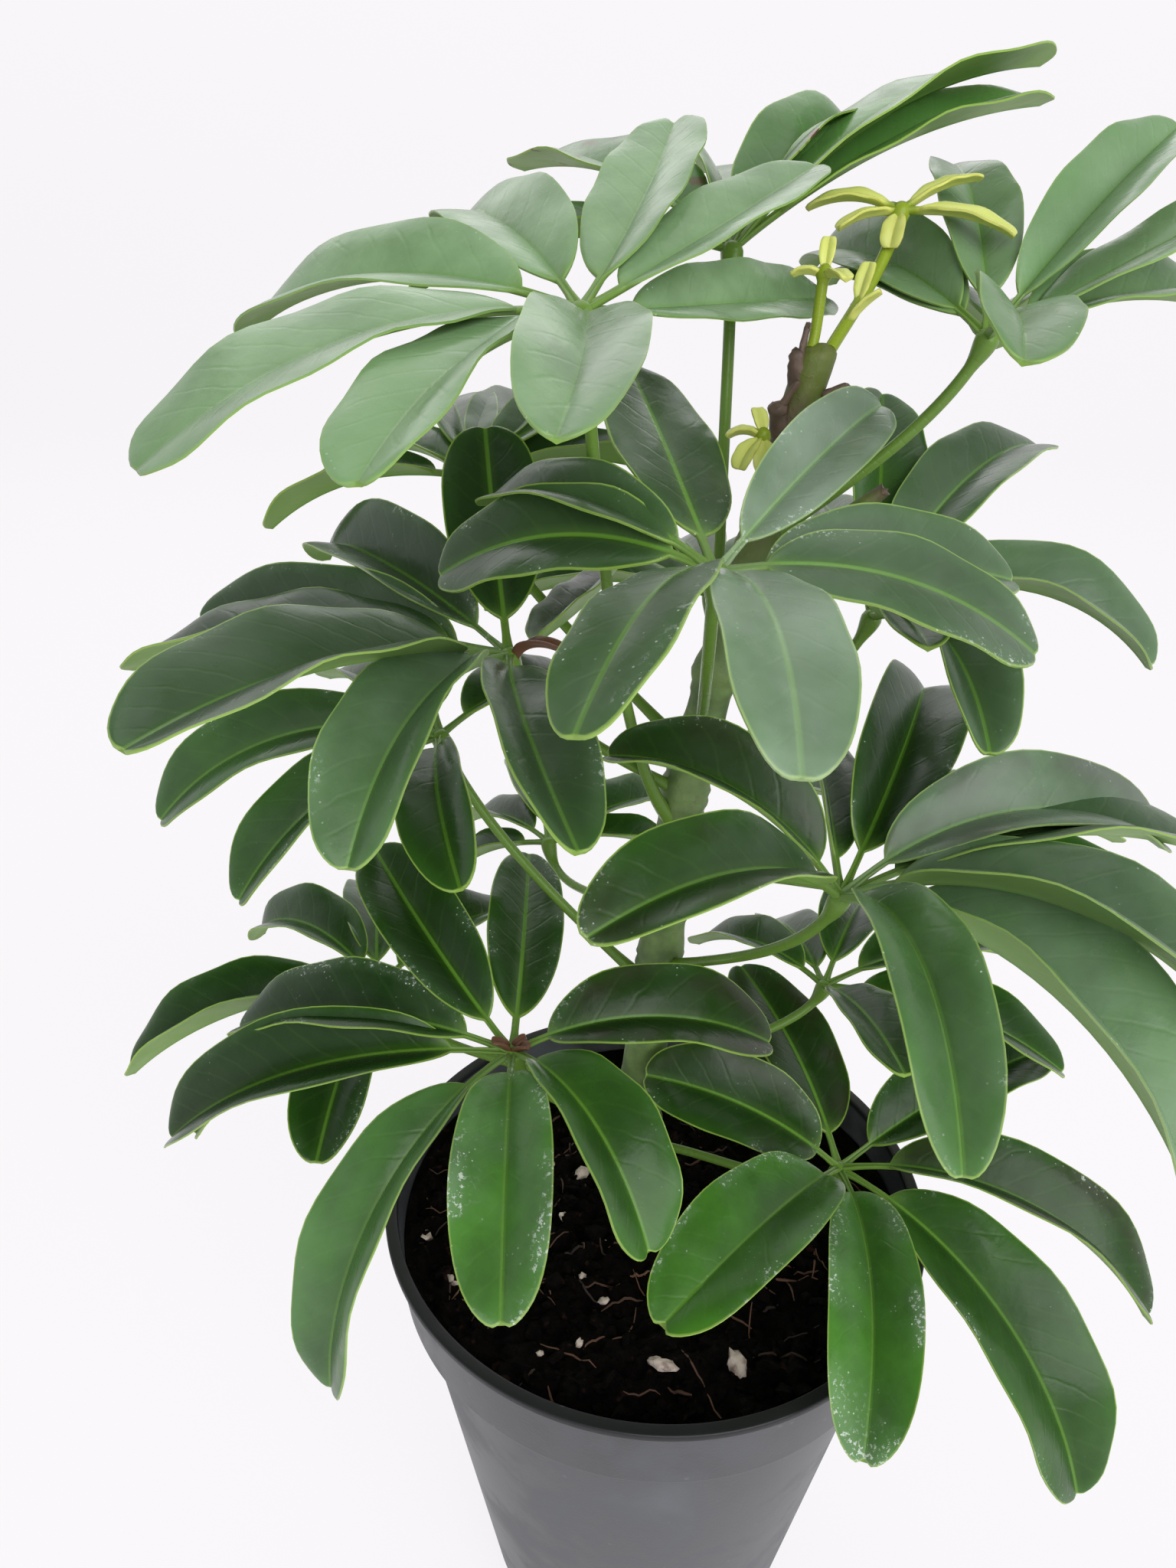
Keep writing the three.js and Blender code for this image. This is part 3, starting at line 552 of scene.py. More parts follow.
# The petiole leaves the stem outwards and comes up under the hub.
def petiolePath(form):
    root = np.array(form.get("root") or stemPoint(form["foot"]), dtype=float)
    hub = np.array(form["hub"], dtype=float)
    reach = np.linalg.norm(hub - root)
    out = (hub - root) * (1, 1, 0)
    out = out / np.linalg.norm(out)
    leaving = root + out * petiole["leavingOut"] * reach + up * petiole["leavingUp"] * reach
    if "below" in form:
        arriving = hub + np.array(form["below"], dtype=float)
    else:
        arriving = hub - out * petiole["arrivingOut"] * reach - up * petiole["arrivingUp"] * reach
    shares = np.linspace(0, 1, petiole["pathSteps"])
    fine = bezier((root, leaving, arriving, hub), shares)
    lengths = np.concatenate(((0.0,), np.cumsum(np.linalg.norm(np.diff(fine, axis=0), axis=1))))
    return fine, lengths / lengths[-1]


def pathAt(path, shares):
    fine, lengths = path
    return np.stack([np.interp(shares, lengths, fine[:, axis]) for axis in range(3)], axis=-1)


# Rings square to a path, each turned from the one before by the least twist.
def tubeRings(path, radii, sides, startSide=(1.0, 0.0, 0.0)):
    forward = np.gradient(path, axis=0)
    forward = forward / np.linalg.norm(forward, axis=1)[:, None]
    side = np.asarray(startSide, dtype=float)
    rings = []
    angles = 2 * math.pi * np.arange(sides) / sides
    for centre, ahead, radius in zip(path, forward, radii):
        side = side - ahead * side.dot(ahead)
        side = side / np.linalg.norm(side)
        other = np.cross(ahead, side)
        turned = np.cos(angles)[:, None] * side + np.sin(angles)[:, None] * other
        rings.append(centre + turned * radius)
    return np.array(rings)


# Marks for points that lie on no blade: nought but for those named.
def marksFor(rings, **values):
    marks = np.zeros(rings.shape[:2] + (len(markNames),))
    for name, value in values.items():
        marks[..., markNames.index(name)] = value
    return marks


# A round petiole, thicker at its foot and under the hub, which it closes with a low cap.
def addPetiole(shells, form, tone):
    path = petiolePath(form)
    slim = form.get("radius", petiole["radius"])
    foot = form.get("radius", petiole["footRadius"])
    hub = slim * petiole["youngHub"] if "root" in form else petiole["hubRadius"]
    shares = (1 - np.cos(np.linspace(0, math.pi, petiole["stations"]))) / 2
    points = pathAt(path, shares)
    radii = slim + (foot - slim) * np.clip(1 - shares / petiole["footShare"], 0, 1) ** 2
    radii = radii + (hub - slim) * smooth(1 - 2.2 * petiole["hubShare"], 1, shares)
    last = points[-1] + (points[-1] - points[-3]) / np.linalg.norm(points[-1] - points[-3])
    points = np.vstack((points, last, last + (last - points[-1]) * petiole["capStep"]))
    radii = np.concatenate((radii, hub * np.array(petiole["capRadii"])))
    shares = np.concatenate((shares, (1.0, 1.0)))
    rings = tubeRings(points, radii, petiole["sides"])
    length = (shares * 100)[:, None]
    addRings(shells, rings, marksFor(rings, edge=9, along=length, upper=1, stalk=1, tone=tone))
    return path


def buildLeaf(name, form, material):
    draw = random.Random(name)
    shells = newShells()
    tone = form.get("tone", 0)
    path = addPetiole(shells, form, tone)
    for ray in form["leaflets"]:
        addLeaflet(shells, form["hub"], ray, draw, tone)
    for bract in form.get("bracts", ()):
        start = pathAt(path, np.array((bract["at"],)))[0]
        addLeaflet(shells, start, bract["form"], draw, tone)
    mesh = meshFromShells(name + "_fine", shells)
    return finishPiece(name + "_fine", mesh, material, (name,))


# The woody stem. Brown bark shows on one side between the heights of its band.
stem = dict(
    axis=(
        (-7, 15, 70), (-6, 14, 100), (-4, 12, 140), (-1, 10, 180),
        (2, 10, 217), (8, 10, 248), (18, 10, 292), (19.5, 9.5, 298),
    ),
    baseRadius=5.4, topRadius=3.2, swelling=0.5, swellingHeight=2.6,
    shownFrom=100, seed=5, rings=260, sides=40, domeFrom=2.2, domeHeight=2.3,
    scarHeight=0.35, scarWidth=0.7, scarDrops=(1.6, 4.2), barkDepth=0.16,
    brownBand=(262, 276, 284, 293), brownTurn=205, paleFrom=230, paleTo=290,
    stubStations=9, stubSides=12, stubUneven=(0.86, 1.08), stubJagged=0.3,
    longStub=15, stubMarkHeight=270, stubEndShare=0.7,
    stubs=(
        ((16.5, 9.5, 291), (15.5, 8, 297), 1.8, 1.4),
        ((16, 8, 295), (17, 8.5, 301), 0.7, 0.5),
        ((14, 8.5, 284), (13, 6.5, 289), 1.9, 1.5),
        ((13.5, 7, 288), (16, 5.5, 292.5), 0.7, 0.6),
        ((20.5, 8.5, 290), (24.5, 8, 292), 0.8, 0.6),
        ((10.3, 10, 257), (32, 4.5, 276), 1.2, 1.4),
    ),
)


def stemPoint(height):
    axis = np.array(stem["axis"], dtype=float)
    return [np.interp(height, axis[:, 2], axis[:, side]) for side in range(2)] + [height]


def stemRadius(height):
    foot, top = stem["axis"][0][2], stem["axis"][-1][2]
    taper = (stem["topRadius"] - stem["baseRadius"]) * (height - foot) / (top - foot)
    radius = stem["baseRadius"] + taper
    for form in leaves.values():
        away = (height - form["foot"]) / stem["swellingHeight"]
        radius += stem["swelling"] * math.exp(-away ** 2)
    return radius


# A leaf scar is a low ring round the stem under each petiole, with a second one close by.
def scarAt(height):
    ridge = 0
    for form in leaves.values():
        for drop in stem["scarDrops"]:
            ridge += math.exp(-((height - form["foot"] + drop) / stem["scarWidth"]) ** 2)
    return stem["scarHeight"] * min(ridge, 1)


def brownAt(height, angle, grain):
    foot, fullFrom, fullTo, top = stem["brownBand"]
    brown = smooth(foot, fullFrom, height) * smooth(top, fullTo, height)
    turn = math.cos(angle - math.radians(stem["brownTurn"]))
    return brown * smooth(-0.1, 0.5, turn + 0.25 * grain)


def stemMarks(height, brown):
    # On the stem the tone and sheen mark is only the blend towards the stem's own top colour, no
    # sheen.
    pale = smooth(stem["paleFrom"], stem["paleTo"], height)
    facts = dict(edge=9, along=height, upper=1, stalk=1, brown=brown, tone=pale)
    return [facts.get(mark, 0) for mark in markNames]


def addStemShell(shells):
    top = stem["axis"][-1][2]
    rings = []
    marks = []
    for height in np.linspace(stem["shownFrom"], top, stem["rings"]):
        centre = np.array(stemPoint(height))
        domed = max(0, (height - top + stem["domeFrom"]) / stem["domeHeight"])
        radius = stemRadius(height) * math.sqrt(max(0.05, 1 - domed ** 2)) + scarAt(height)
        ring = []
        row = []
        for side in range(stem["sides"]):
            angle = 2 * math.pi * side / stem["sides"]
            direction = Vector((math.cos(angle), math.sin(angle), 0))
            spot = Vector((direction.x * 3, direction.y * 3, height * 0.09))
            grain = noise.fractal(spot, 1, 2, 4)
            size = radius + stem["barkDepth"] * grain
            ring.append(centre + np.array(direction) * size)
            row.append(stemMarks(height, brownAt(height, angle, grain)))
        rings.append(ring)
        marks.append(row)
    addRings(shells, rings, marks)


# A short dead stub with an uneven skin and a torn end. The long one is green to its tip.
def addStub(shells, stub, draw):
    root, tip, rootRadius, tipRadius = stub
    stations, sides = stem["stubStations"], stem["stubSides"]
    shares = np.linspace(0, 1, stations)[:, None]
    path = np.array(root) * (1 - shares) + np.array(tip) * shares
    radii = np.linspace(rootRadius, tipRadius, stations)
    radii = radii * np.array([draw.uniform(*stem["stubUneven"]) for share in radii])
    radii[-1] = radii[-1] * stem["stubEndShare"]
    rings = tubeRings(path, radii, sides)
    jag = stem["stubJagged"]
    rings[-1] += np.array([[draw.uniform(-jag, jag) for axis in range(3)] for side in range(sides)])
    long = np.linalg.norm(np.array(tip) - np.array(root)) > stem["longStub"]
    marks = []
    for share in shares[:, 0]:
        brown = smooth(0.86, 1, share) if long else 1
        marks.append([stemMarks(stem["stubMarkHeight"], float(brown))] * sides)
    addRings(shells, rings, marks)


def buildStem(material):
    draw = random.Random(stem["seed"])
    shells = newShells()
    addStemShell(shells)
    for stub in stem["stubs"]:
        addStub(shells, stub, draw)
    mesh = meshFromShells("stem_fine", shells)
    return finishPiece("stem_fine", mesh, material, ("stem",))


# The pot
pot = dict(
    height=120, rimRadius=60, footRadius=38, wall=1.4, segments=160,
    collarHeight=19, collarFoot=56.8, collarTop=58.8, collarStep=2.6,
    lipHeight=1.8, lipRounding=0.5, footCorner=1.6, floor=2,
    shoulderRounding=0.5, stepRounding=0.6, underLipRounding=0.3, innerRounding=0.4,
    floorRounding=1.0, axisRadius=0.01, smoothAngle=40,
    holeRadius=4, holeCircle=24, holes=4, holeSides=32, bevelSteps=4,
)


def bodyRadius(height):
    shoulder = pot["height"] - pot["collarHeight"]
    share = (height - pot["footCorner"]) / (shoulder - pot["footCorner"])
    return pot["footRadius"] + (pot["collarFoot"] - pot["collarStep"] - pot["footRadius"]) * share


def collarInside(height):
    share = (height - pot["height"] + pot["collarHeight"]) / pot["collarHeight"]
    return pot["collarFoot"] + (pot["collarTop"] - pot["collarFoot"]) * share - pot["wall"]


# The half outline of the pot: radius, height and how far each corner is rounded.
def potOutline():
    shoulder = pot["height"] - pot["collarHeight"]
    lipFoot = pot["height"] - pot["lipHeight"]
    innerShoulder = shoulder + pot["wall"]
    return (
        (pot["axisRadius"], 0, 0),
        (bodyRadius(pot["footCorner"]), 0, pot["footCorner"]),
        (bodyRadius(shoulder), shoulder, pot["shoulderRounding"]),
        (pot["collarFoot"], shoulder, pot["stepRounding"]),
        (pot["collarTop"], lipFoot, pot["underLipRounding"]),
        (pot["rimRadius"], lipFoot, pot["lipRounding"]),
        (pot["rimRadius"], pot["height"], pot["lipRounding"]),
        (collarInside(pot["height"]), pot["height"], pot["innerRounding"]),
        (collarInside(innerShoulder), innerShoulder, pot["innerRounding"]),
        (bodyRadius(shoulder) - pot["wall"], innerShoulder, pot["innerRounding"]),
        (bodyRadius(pot["floor"]) - pot["wall"], pot["floor"], pot["floorRounding"]),
        (pot["axisRadius"], pot["floor"], 0),
    )


def roundedOutline(corners):
    points = []
    for index, (radius, height, rounding) in enumerate(corners):
        corner = Vector((radius, height))
        if not rounding:
            points.append(corner)
            continue
        before = Vector(corners[index - 1][:2])
        after = Vector(corners[index + 1][:2])
        start = corner + (before - corner).normalized() * rounding
        end = corner + (after - corner).normalized() * rounding
        for step in range(pot["bevelSteps"] + 1):
            share = step / pot["bevelSteps"]
            points.append(start.lerp(corner, share).lerp(corner.lerp(end, share), share))
    return points


def turnedMesh(name, outline, segments):
    points = []
    faces = []
    count = len(outline)
    for segment in range(segments):
        angle = 2 * math.pi * segment / segments
        points += [(r * math.cos(angle) * mm, r * math.sin(angle) * mm, h * mm) for r, h in outline]
    for segment in range(segments):
        here = segment * count
        there = (segment + 1) % segments * count
        for step in range(count - 1):
            faces.append((here + step, there + step, there + step + 1, here + step + 1))
    faces.append(tuple(segment * count for segment in reversed(range(segments))))
    faces.append(tuple(segment * count + count - 1 for segment in range(segments)))
    mesh = bpy.data.meshes.new(name)
    mesh.from_pydata(points, [], faces)
    mesh.update()
    return mesh


def cutHoles(piece):
    for index in range(pot["holes"]):
        angle = 2 * math.pi * (index + 0.5) / pot["holes"]
        centre = Vector((math.cos(angle), math.sin(angle), 0)) * pot["holeCircle"]
        depth = 2 * pot["floor"]
        outline = [Vector((pot["axisRadius"], -depth)), Vector((pot["holeRadius"], -depth))]
        outline += [Vector((pot["holeRadius"], depth)), Vector((pot["axisRadius"], depth))]
        mesh = turnedMesh("cutter", outline, pot["holeSides"])
        mesh.transform(Matrix.Translation(centre * mm))
        cutter = bpy.data.objects.new("cutter", mesh)
        bpy.context.scene.collection.objects.link(cutter)
        cut = piece.modifiers.new("hole", "BOOLEAN")
        cut.operation = "DIFFERENCE"
        cut.object = cutter
        bpy.context.view_layer.objects.active = piece
        bpy.ops.object.modifier_apply(modifier=cut.name)
        bpy.data.objects.remove(cutter)


def buildPot(material):
    mesh = turnedMesh("pot_fine", roundedOutline(potOutline()), pot["segments"])
    piece = finishPiece("pot_fine", mesh, material, ("pot",), pot["smoothAngle"])
    cutHoles(piece)
    return piece


# The potting mix: a rough surface with crumbs, white perlite and thin fibres on it
mix = dict(
    top=111, mound=(0.8, 2, 9), ripple=(0.6, 5, 5), gap=0.3, stemGap=8, wallGap=2.5,
    rings=84, segments=240, roughness=2.2, grainSize=4.0, levelEdge=3, seed=11,
    crumbDents=0.7, perliteDents=0.6, dentSize=1.6, sunk=0.2, largeSunk=0.4,
    crumbs=1000, crumbRadii=(0.5, 2.4), perlite=13, perliteRadii=(0.8, 2.0),
    stretches=((0.8, 1.5), (0.7, 1.1), (0.5, 0.9)), fullTurn=6.28,
    fibres=110, fibreLengths=(4, 15), fibreRadius=0.16, fibreBend=0.12, fibreLift=0.25,
    fibreShape=(0.6, 1, 1.2, 1.3, 1.2, 1.1, 0.9, 0.5),
    largePerlite=(((4, -40.8), 2.4), ((18.7, -36.8), 2.5), ((-9, -25.4), 1.2), ((-14, -20), 1.0)),
)


def soilHeight(x, y):
    radius = math.hypot(x, y)
    angle = math.atan2(y, x)
    high, lobes, reach = mix["mound"]
    height = mix["top"] + high * math.cos(lobes * angle) * math.sin(radius / reach)
    high, lobes, reach = mix["ripple"]
    height += high * math.cos(lobes * angle + radius / reach)
    grain = noise.fractal(Vector((x, y, 3)) / mix["grainSize"], 0.8, 2.1, 5)
    level = min(1, max(0, (soilEdge() - radius) / mix["levelEdge"]))
    return height + mix["roughness"] * grain * level


def soilEdge():
    return collarInside(mix["top"]) - mix["gap"]


def circle(radius, segments):
    turns = [2 * math.pi * segment / segments for segment in range(segments)]
    return [(radius * math.cos(turn), radius * math.sin(turn)) for turn in turns]


# The mix fills the pot down to its floor, and clears the wall and the ledge by a gap.
def addSoilSurface(points, faces):
    segments = mix["segments"]
    shoulder = pot["height"] - pot["collarHeight"]
    foot = pot["floor"] + mix["gap"]
    ledge = shoulder + pot["wall"] + mix["gap"]
    walls = (
        (bodyRadius(foot) - pot["wall"] - mix["gap"], foot),
        (bodyRadius(shoulder) - pot["wall"] - mix["gap"], ledge),
        (collarInside(ledge) - mix["gap"], ledge),
    )
    for radius, height in walls:
        points += [(x, y, height) for x, y in circle(radius, segments)]
    for ring in range(mix["rings"], 0, -1):
        around = circle(soilEdge() * ring / mix["rings"], segments)
        points += [(x, y, soilHeight(x, y)) for x, y in around]
    last = (len(walls) + mix["rings"] - 1) * segments
    for here in range(0, last, segments):
        there = here + segments
        for segment in range(segments):
            after = (segment + 1) % segments
            faces.append((here + segment, here + after, there + after, there + segment))
    faces.append(tuple(range(segments - 1, -1, -1)))
    faces.append(tuple(range(last, last + segments)))


def lumpShape(level):
    mesh = bmesh.new()
    bmesh.ops.create_icosphere(mesh, subdivisions=level, radius=1)
    points = [vertex.co.copy() for vertex in mesh.verts]
    faces = [tuple(vertex.index for vertex in face.verts) for face in mesh.faces]
    mesh.free()
    return points, faces


# A lump is a ball stretched, turned and dented by noise.
def addLump(points, faces, shape, centre, size, draw, rough):
    lumpPoints, lumpFaces = shape
    first = len(points)
    turn = Matrix.Rotation(draw.uniform(0, mix["fullTurn"]), 3, "Z")
    turn = turn @ Matrix.Rotation(draw.uniform(0, mix["fullTurn"]), 3, "X")
    stretch = Vector([draw.uniform(*span) for span in mix["stretches"]])
    shift = Vector((draw.uniform(0, 99), draw.uniform(0, 99), 0))
    for point in lumpPoints:
        bumpy = 1 + rough * noise.noise(point * mix["dentSize"] + shift)
        moved = turn @ (point * bumpy * stretch) * size
        points.append(tuple(centre + moved))
    faces += [tuple(first + corner for corner in face) for face in lumpFaces]


# A place on the mix, clear of the stem and of the pot's wall
def soilSpot(draw, outer=None):
    outer = outer or soilEdge() - mix["wallGap"]
    radius = math.sqrt(draw.uniform(mix["stemGap"] ** 2, outer ** 2))
    angle = draw.uniform(0, 2 * math.pi)
    x, y = radius * math.cos(angle), radius * math.sin(angle)
    return Vector((x, y, soilHeight(x, y)))


def plainMesh(name, points, faces):
    mesh = bpy.data.meshes.new(name)
    mesh.from_pydata([tuple(axis * mm for axis in point) for point in points], [], faces)
    mesh.update()
    return mesh


def buildSoil(material):
    draw = random.Random(mix["seed"])
    points = []
    faces = []
    addSoilSurface(points, faces)
    shape = lumpShape(1)
    for index in range(mix["crumbs"]):
        size = draw.uniform(*mix["crumbRadii"]) * draw.uniform(0.6, 1)
        addLump(points, faces, shape, soilSpot(draw), size, draw, mix["crumbDents"])
    mesh = plainMesh("soil_fine", points, faces)
    return finishPiece("soil_fine", mesh, material, ("soil",), angle=35)


def buildPerlite(material):
    draw = random.Random(mix["seed"] + 1)
    points = []
    faces = []
    shape = lumpShape(2)
    for centre, size in mix["largePerlite"]:
        spot = Vector((centre[0], centre[1], soilHeight(*centre) + mix["largeSunk"] * size))
        addLump(points, faces, shape, spot, size, draw, mix["perliteDents"])
    for index in range(mix["perlite"]):
        size = draw.uniform(*mix["perliteRadii"]) * draw.uniform(0.4, 1)
        spot = soilSpot(draw) + Vector((0, 0, mix["sunk"] * size))
        addLump(points, faces, shape, spot, size, draw, mix["perliteDents"])
    mesh = plainMesh("perlite_crumbs", points, faces)
    return finishPiece("perlite_crumbs", mesh, material, (), angle=60)


def fibrePath(draw):
    length = draw.uniform(*mix["fibreLengths"])
    heading = draw.uniform(0, 2 * math.pi)
    bend = draw.uniform(-mix["fibreBend"], mix["fibreBend"])
    spot = soilSpot(draw, outer=soilEdge() - 3 - length / 2)
    x, y = spot.x, spot.y
    steps = len(mix["fibreShape"])
    path = []
    for step in range(steps):
        path.append((x, y, soilHeight(x, y) + mix["fibreLift"]))
        x += math.cos(heading) * length / (steps - 1)
        y += math.sin(heading) * length / (steps - 1)
        heading += bend
    return np.array(path)


def buildFibres(material):
    draw = random.Random(mix["seed"] + 2)
    shells = newShells()
    for index in range(mix["fibres"]):
        path = fibrePath(draw)
        radii = mix["fibreRadius"] * np.array(mix["fibreShape"]) * draw.uniform(0.7, 1.8)
        rings = tubeRings(path, radii, 6, startSide=(0, 0, 1))
        addRings(shells, rings, marksFor(rings, fresh=draw.random()))
    mesh = meshFromShells("bark_fibres", shells)
    return finishPiece("bark_fibres", mesh, material, ())


# Materials. These short functions add a node and give back one of its sockets.
def newMaterial(name):
    material = bpy.data.materials.new(name)
    material.use_nodes = True
    material.node_tree.nodes.clear()
    return material, material.node_tree


def addNode(tree, kind, inputs, **settings):
    node = tree.nodes.new(kind)
    for key, value in settings.items():
        setattr(node, key, value)
    for key, value in inputs.items():
        if isinstance(value, bpy.types.NodeSocket):
            tree.links.new(value, node.inputs[key])
        else:
            node.inputs[key].default_value = value
    return node


def mark(tree, name):
    return addNode(tree, "ShaderNodeAttribute", {}, attribute_name=name).outputs["Fac"]


def calc(tree, operation, first, second=0.0):
    return addNode(tree, "ShaderNodeMath", {0: first, 1: second}, operation=operation).outputs[0]


def times(tree, first, second):
    return calc(tree, "MULTIPLY", first, second)


def plus(tree, first, second):
    return calc(tree, "ADD", first, second)


# Eases from start to end while the value goes from low to high.
def between(tree, value, low, high, start=0.0, end=1.0):
    inputs = {"Value": value, "From Min": low, "From Max": high, "To Min": start, "To Max": end}
    return addNode(tree, "ShaderNodeMapRange", inputs, interpolation_type="SMOOTHSTEP").outputs[0]


def blendColour(tree, share, first, second):
    inputs = {0: share, 6: first, 7: second}
    return addNode(tree, "ShaderNodeMix", inputs, data_type="RGBA").outputs[2]


def cloud(tree, scale, detail=3.0, rough=0.5, seed=0.0):
    where = addNode(tree, "ShaderNodeTexCoord", {}).outputs["Object"]
    inputs = {"Vector": where, "Scale": scale, "Detail": detail, "Roughness": rough, "W": seed}
    return addNode(tree, "ShaderNodeTexNoise", inputs, noise_dimensions="4D").outputs["Fac"]


# A look's own cloud, sharpened by its own range
def pattern(tree, look, name):
    return between(tree, cloud(tree, *look[name + "Cloud"]), *look[name + "Range"])


# Sparse round specks: cells whose random number is over a limit get a dot.
def specks(tree, scale, limit, size, core=0.6):
    where = addNode(tree, "ShaderNodeTexCoord", {}).outputs["Object"]
    cells = addNode(tree, "ShaderNodeTexVoronoi", {"Vector": where, "Scale": scale})
    parts = addNode(tree, "ShaderNodeSeparateColor", {0: cells.outputs["Color"]})
    chosen = calc(tree, "GREATER_THAN", parts.outputs[0], limit)
    dot = between(tree, cells.outputs["Distance"], size, size * core)
    return times(tree, chosen, dot)


def bump(tree, height, strength, depth):
    inputs = {"Height": height, "Strength": strength, "Distance": depth}
    return addNode(tree, "ShaderNodeBump", inputs).outputs[0]


def surface(tree, inputs):
    shader = addNode(tree, "ShaderNodeBsdfPrincipled", inputs)
    addNode(tree, "ShaderNodeOutputMaterial", {"Surface": shader.outputs[0]})


# Each cloud is a scale, detail, roughness and seed. Each range is from, to, and what they
# become. Edge ranges are in millimetres from the outline, line ranges from the midrib.
leafLook = dict(
    # pale is a painted sheen colour, the haze and sheen cloud shapes a painted sheen, and under is
    # partly painted light shining through the leaf.
    deep=(0.008, 0.028, 0.004, 1), fresh=(0.058, 0.2, 0.016, 1), pale=(0.21, 0.34, 0.17, 1),
    under=(0.2, 0.34, 0.08, 1), vein=(0.12, 0.27, 0.03, 1), margin=(0.24, 0.38, 0.06, 1),
    stalk=(0.12, 0.22, 0.035, 1), purple=(0.035, 0.012, 0.02, 1), brown=(0.12, 0.055, 0.03, 1),
    dust=(0.42, 0.5, 0.43, 1), speck=(0.75, 0.8, 0.75, 1),
    blotchCloud=(48.0, 5.0, 0.6), blotchRange=(0.3, 0.68, 0.35, 0.9),
    fresherEdge=(4.0, 0.5, 0.0, 0.12),
    mottleCloud=(60.0, 5.0, 0.6, 4.0), mottleRange=(0.3, 0.7, 0.6, 1.0),
    tingeCloud=(60.0, 3.0, 0.5, 2.0), tingeRange=(0.42, 0.62), tingeEdge=(7.0, 2.0, 0.2, 1.0),
    veinSpacing=5.5, veinSlant=0.9, veinWander=90.0, veinWidth=0.12, veinEdge=(0.5, 3.0),
    veinStrength=0.035, midribLine=(0.6, 0.22, 0.0, 0.8), besideLine=(2.2, 0.4, 0.0, 0.15),
    midribFading=(12.0, 50.0, 1.0, 0.65), midribIfPale=(0.1, 1.0, 1.0, 0.4),
    marginEdge=(0.45, 0.12, 0.0, 0.85), marginIfPale=(0.1, 1.0, 1.0, 0.35),
    filmCloud=(70.0, 6.0, 0.6, 7.0), filmRange=(0.42, 0.72), filmEdge=(4.0, 0.3, 0.35, 1.6),
    filmStrength=0.1, hazeCloud=(38.0, 4.0, 0.6, 5.0), hazeRange=(0.35, 0.7, 0.3, 0.7),
    powderCloud=(1100.0, 3.0, 0.7, 6.0), powderRange=(0.54, 0.62), powderFilm=(0.2, 0.9),
    specks=(1300.0, 0.87, 0.26), speckFilm=(0.04, 0.4), speckStrength=0.6,
    scorchCloud=(130.0, 3.0, 0.5, 9.0), scorchRange=(0.62, 0.66, 0.0, 6.0),
    allBrown=(0.5, 0.9), glossCloud=(120.0, 4.0), glossRange=(0.3, 0.7, 0.2, 0.34),
    dustDulls=0.3, underDulls=0.25, shine=0.26,
    pebbles=(260.0, 4.0), pebbleHeight=0.9, swells=(75.0, 2.0), swellHeight=1.3,
    veinDepth=0.15, relief=(0.25, 0.0006),
)
youngLook = dict(
    leafLook, deep=(0.55, 0.62, 0.14, 1), fresh=(0.7, 0.74, 0.24, 1), pale=(0.6, 0.66, 0.22, 1),
    under=(0.55, 0.61, 0.15, 1), vein=(0.56, 0.6, 0.15, 1), margin=(0.58, 0.6, 0.14, 1),
    stalk=(0.22, 0.3, 0.02, 1),
)


# Side veins run from the midrib towards the edge and fade before they reach it.
def leafVeins(tree, look, offset):
    away = times(tree, offset, look["veinSlant"])
    phase = calc(tree, "SUBTRACT", mark(tree, "along"), away)
    phase = calc(tree, "DIVIDE", phase, look["veinSpacing"])
    phase = plus(tree, phase, cloud(tree, look["veinWander"]))
    ridge = calc(tree, "ABSOLUTE", calc(tree, "SUBTRACT", calc(tree, "FRACT", phase), 0.5))
    inside = between(tree, mark(tree, "edge"), *look["veinEdge"])
    return times(tree, between(tree, ridge, look["veinWidth"], 0.0), inside)


# Deep green with fresh blotches and a purple tinge above, a painted pale sheen over pale-toned
# leaves, and pale green beneath: the real paler underside, brightened as painted light shining
# through
def bladeColour(tree, look, beneath, veins):
    edge = mark(tree, "edge")
    fresh = times(tree, pattern(tree, look, "blotch"), mark(tree, "fresh"))
    fresh = plus(tree, fresh, between(tree, edge, *look["fresherEdge"]))
    colour = blendColour(tree, fresh, look["deep"], look["fresh"])
    # Painted sheen: the leaf's tone, broken up by the mottle cloud, blends towards the pale colour.
    pale = times(tree, mark(tree, "tone"), pattern(tree, look, "mottle"))
    colour = blendColour(tree, pale, colour, look["pale"])
    tinge = times(tree, pattern(tree, look, "tinge"), between(tree, edge, *look["tingeEdge"]))
    colour = blendColour(tree, times(tree, mark(tree, "purple"), tinge), colour, look["purple"])
    colour = blendColour(tree, times(tree, veins, look["veinStrength"]), colour, look["vein"])
    # The underside colour is partly the real paler underside and partly painted light shining
    # through the leaf.
    return blendColour(tree, beneath, colour, look["under"])


# The midrib and the margin are fainter under the painted sheen of pale leaves, the midrib also
# towards the tip.
def leafColour(tree, look, offset, beneath, veins):
    colour = bladeColour(tree, look, beneath, veins)
    tone = mark(tree, "tone")
    fading = between(tree, mark(tree, "along"), *look["midribFading"])
    fading = times(tree, fading, between(tree, tone, *look["midribIfPale"]))
    midrib = between(tree, offset, *look["midribLine"])
    midrib = plus(tree, midrib, between(tree, offset, *look["besideLine"]))
    colour = blendColour(tree, times(tree, midrib, fading), colour, look["vein"])
    rim = between(tree, mark(tree, "edge"), *look["marginEdge"])
    rim = times(tree, rim, between(tree, tone, *look["marginIfPale"]))
    colour = blendColour(tree, rim, colour, look["margin"])
    return blendColour(tree, mark(tree, "stalk"), colour, look["stalk"])


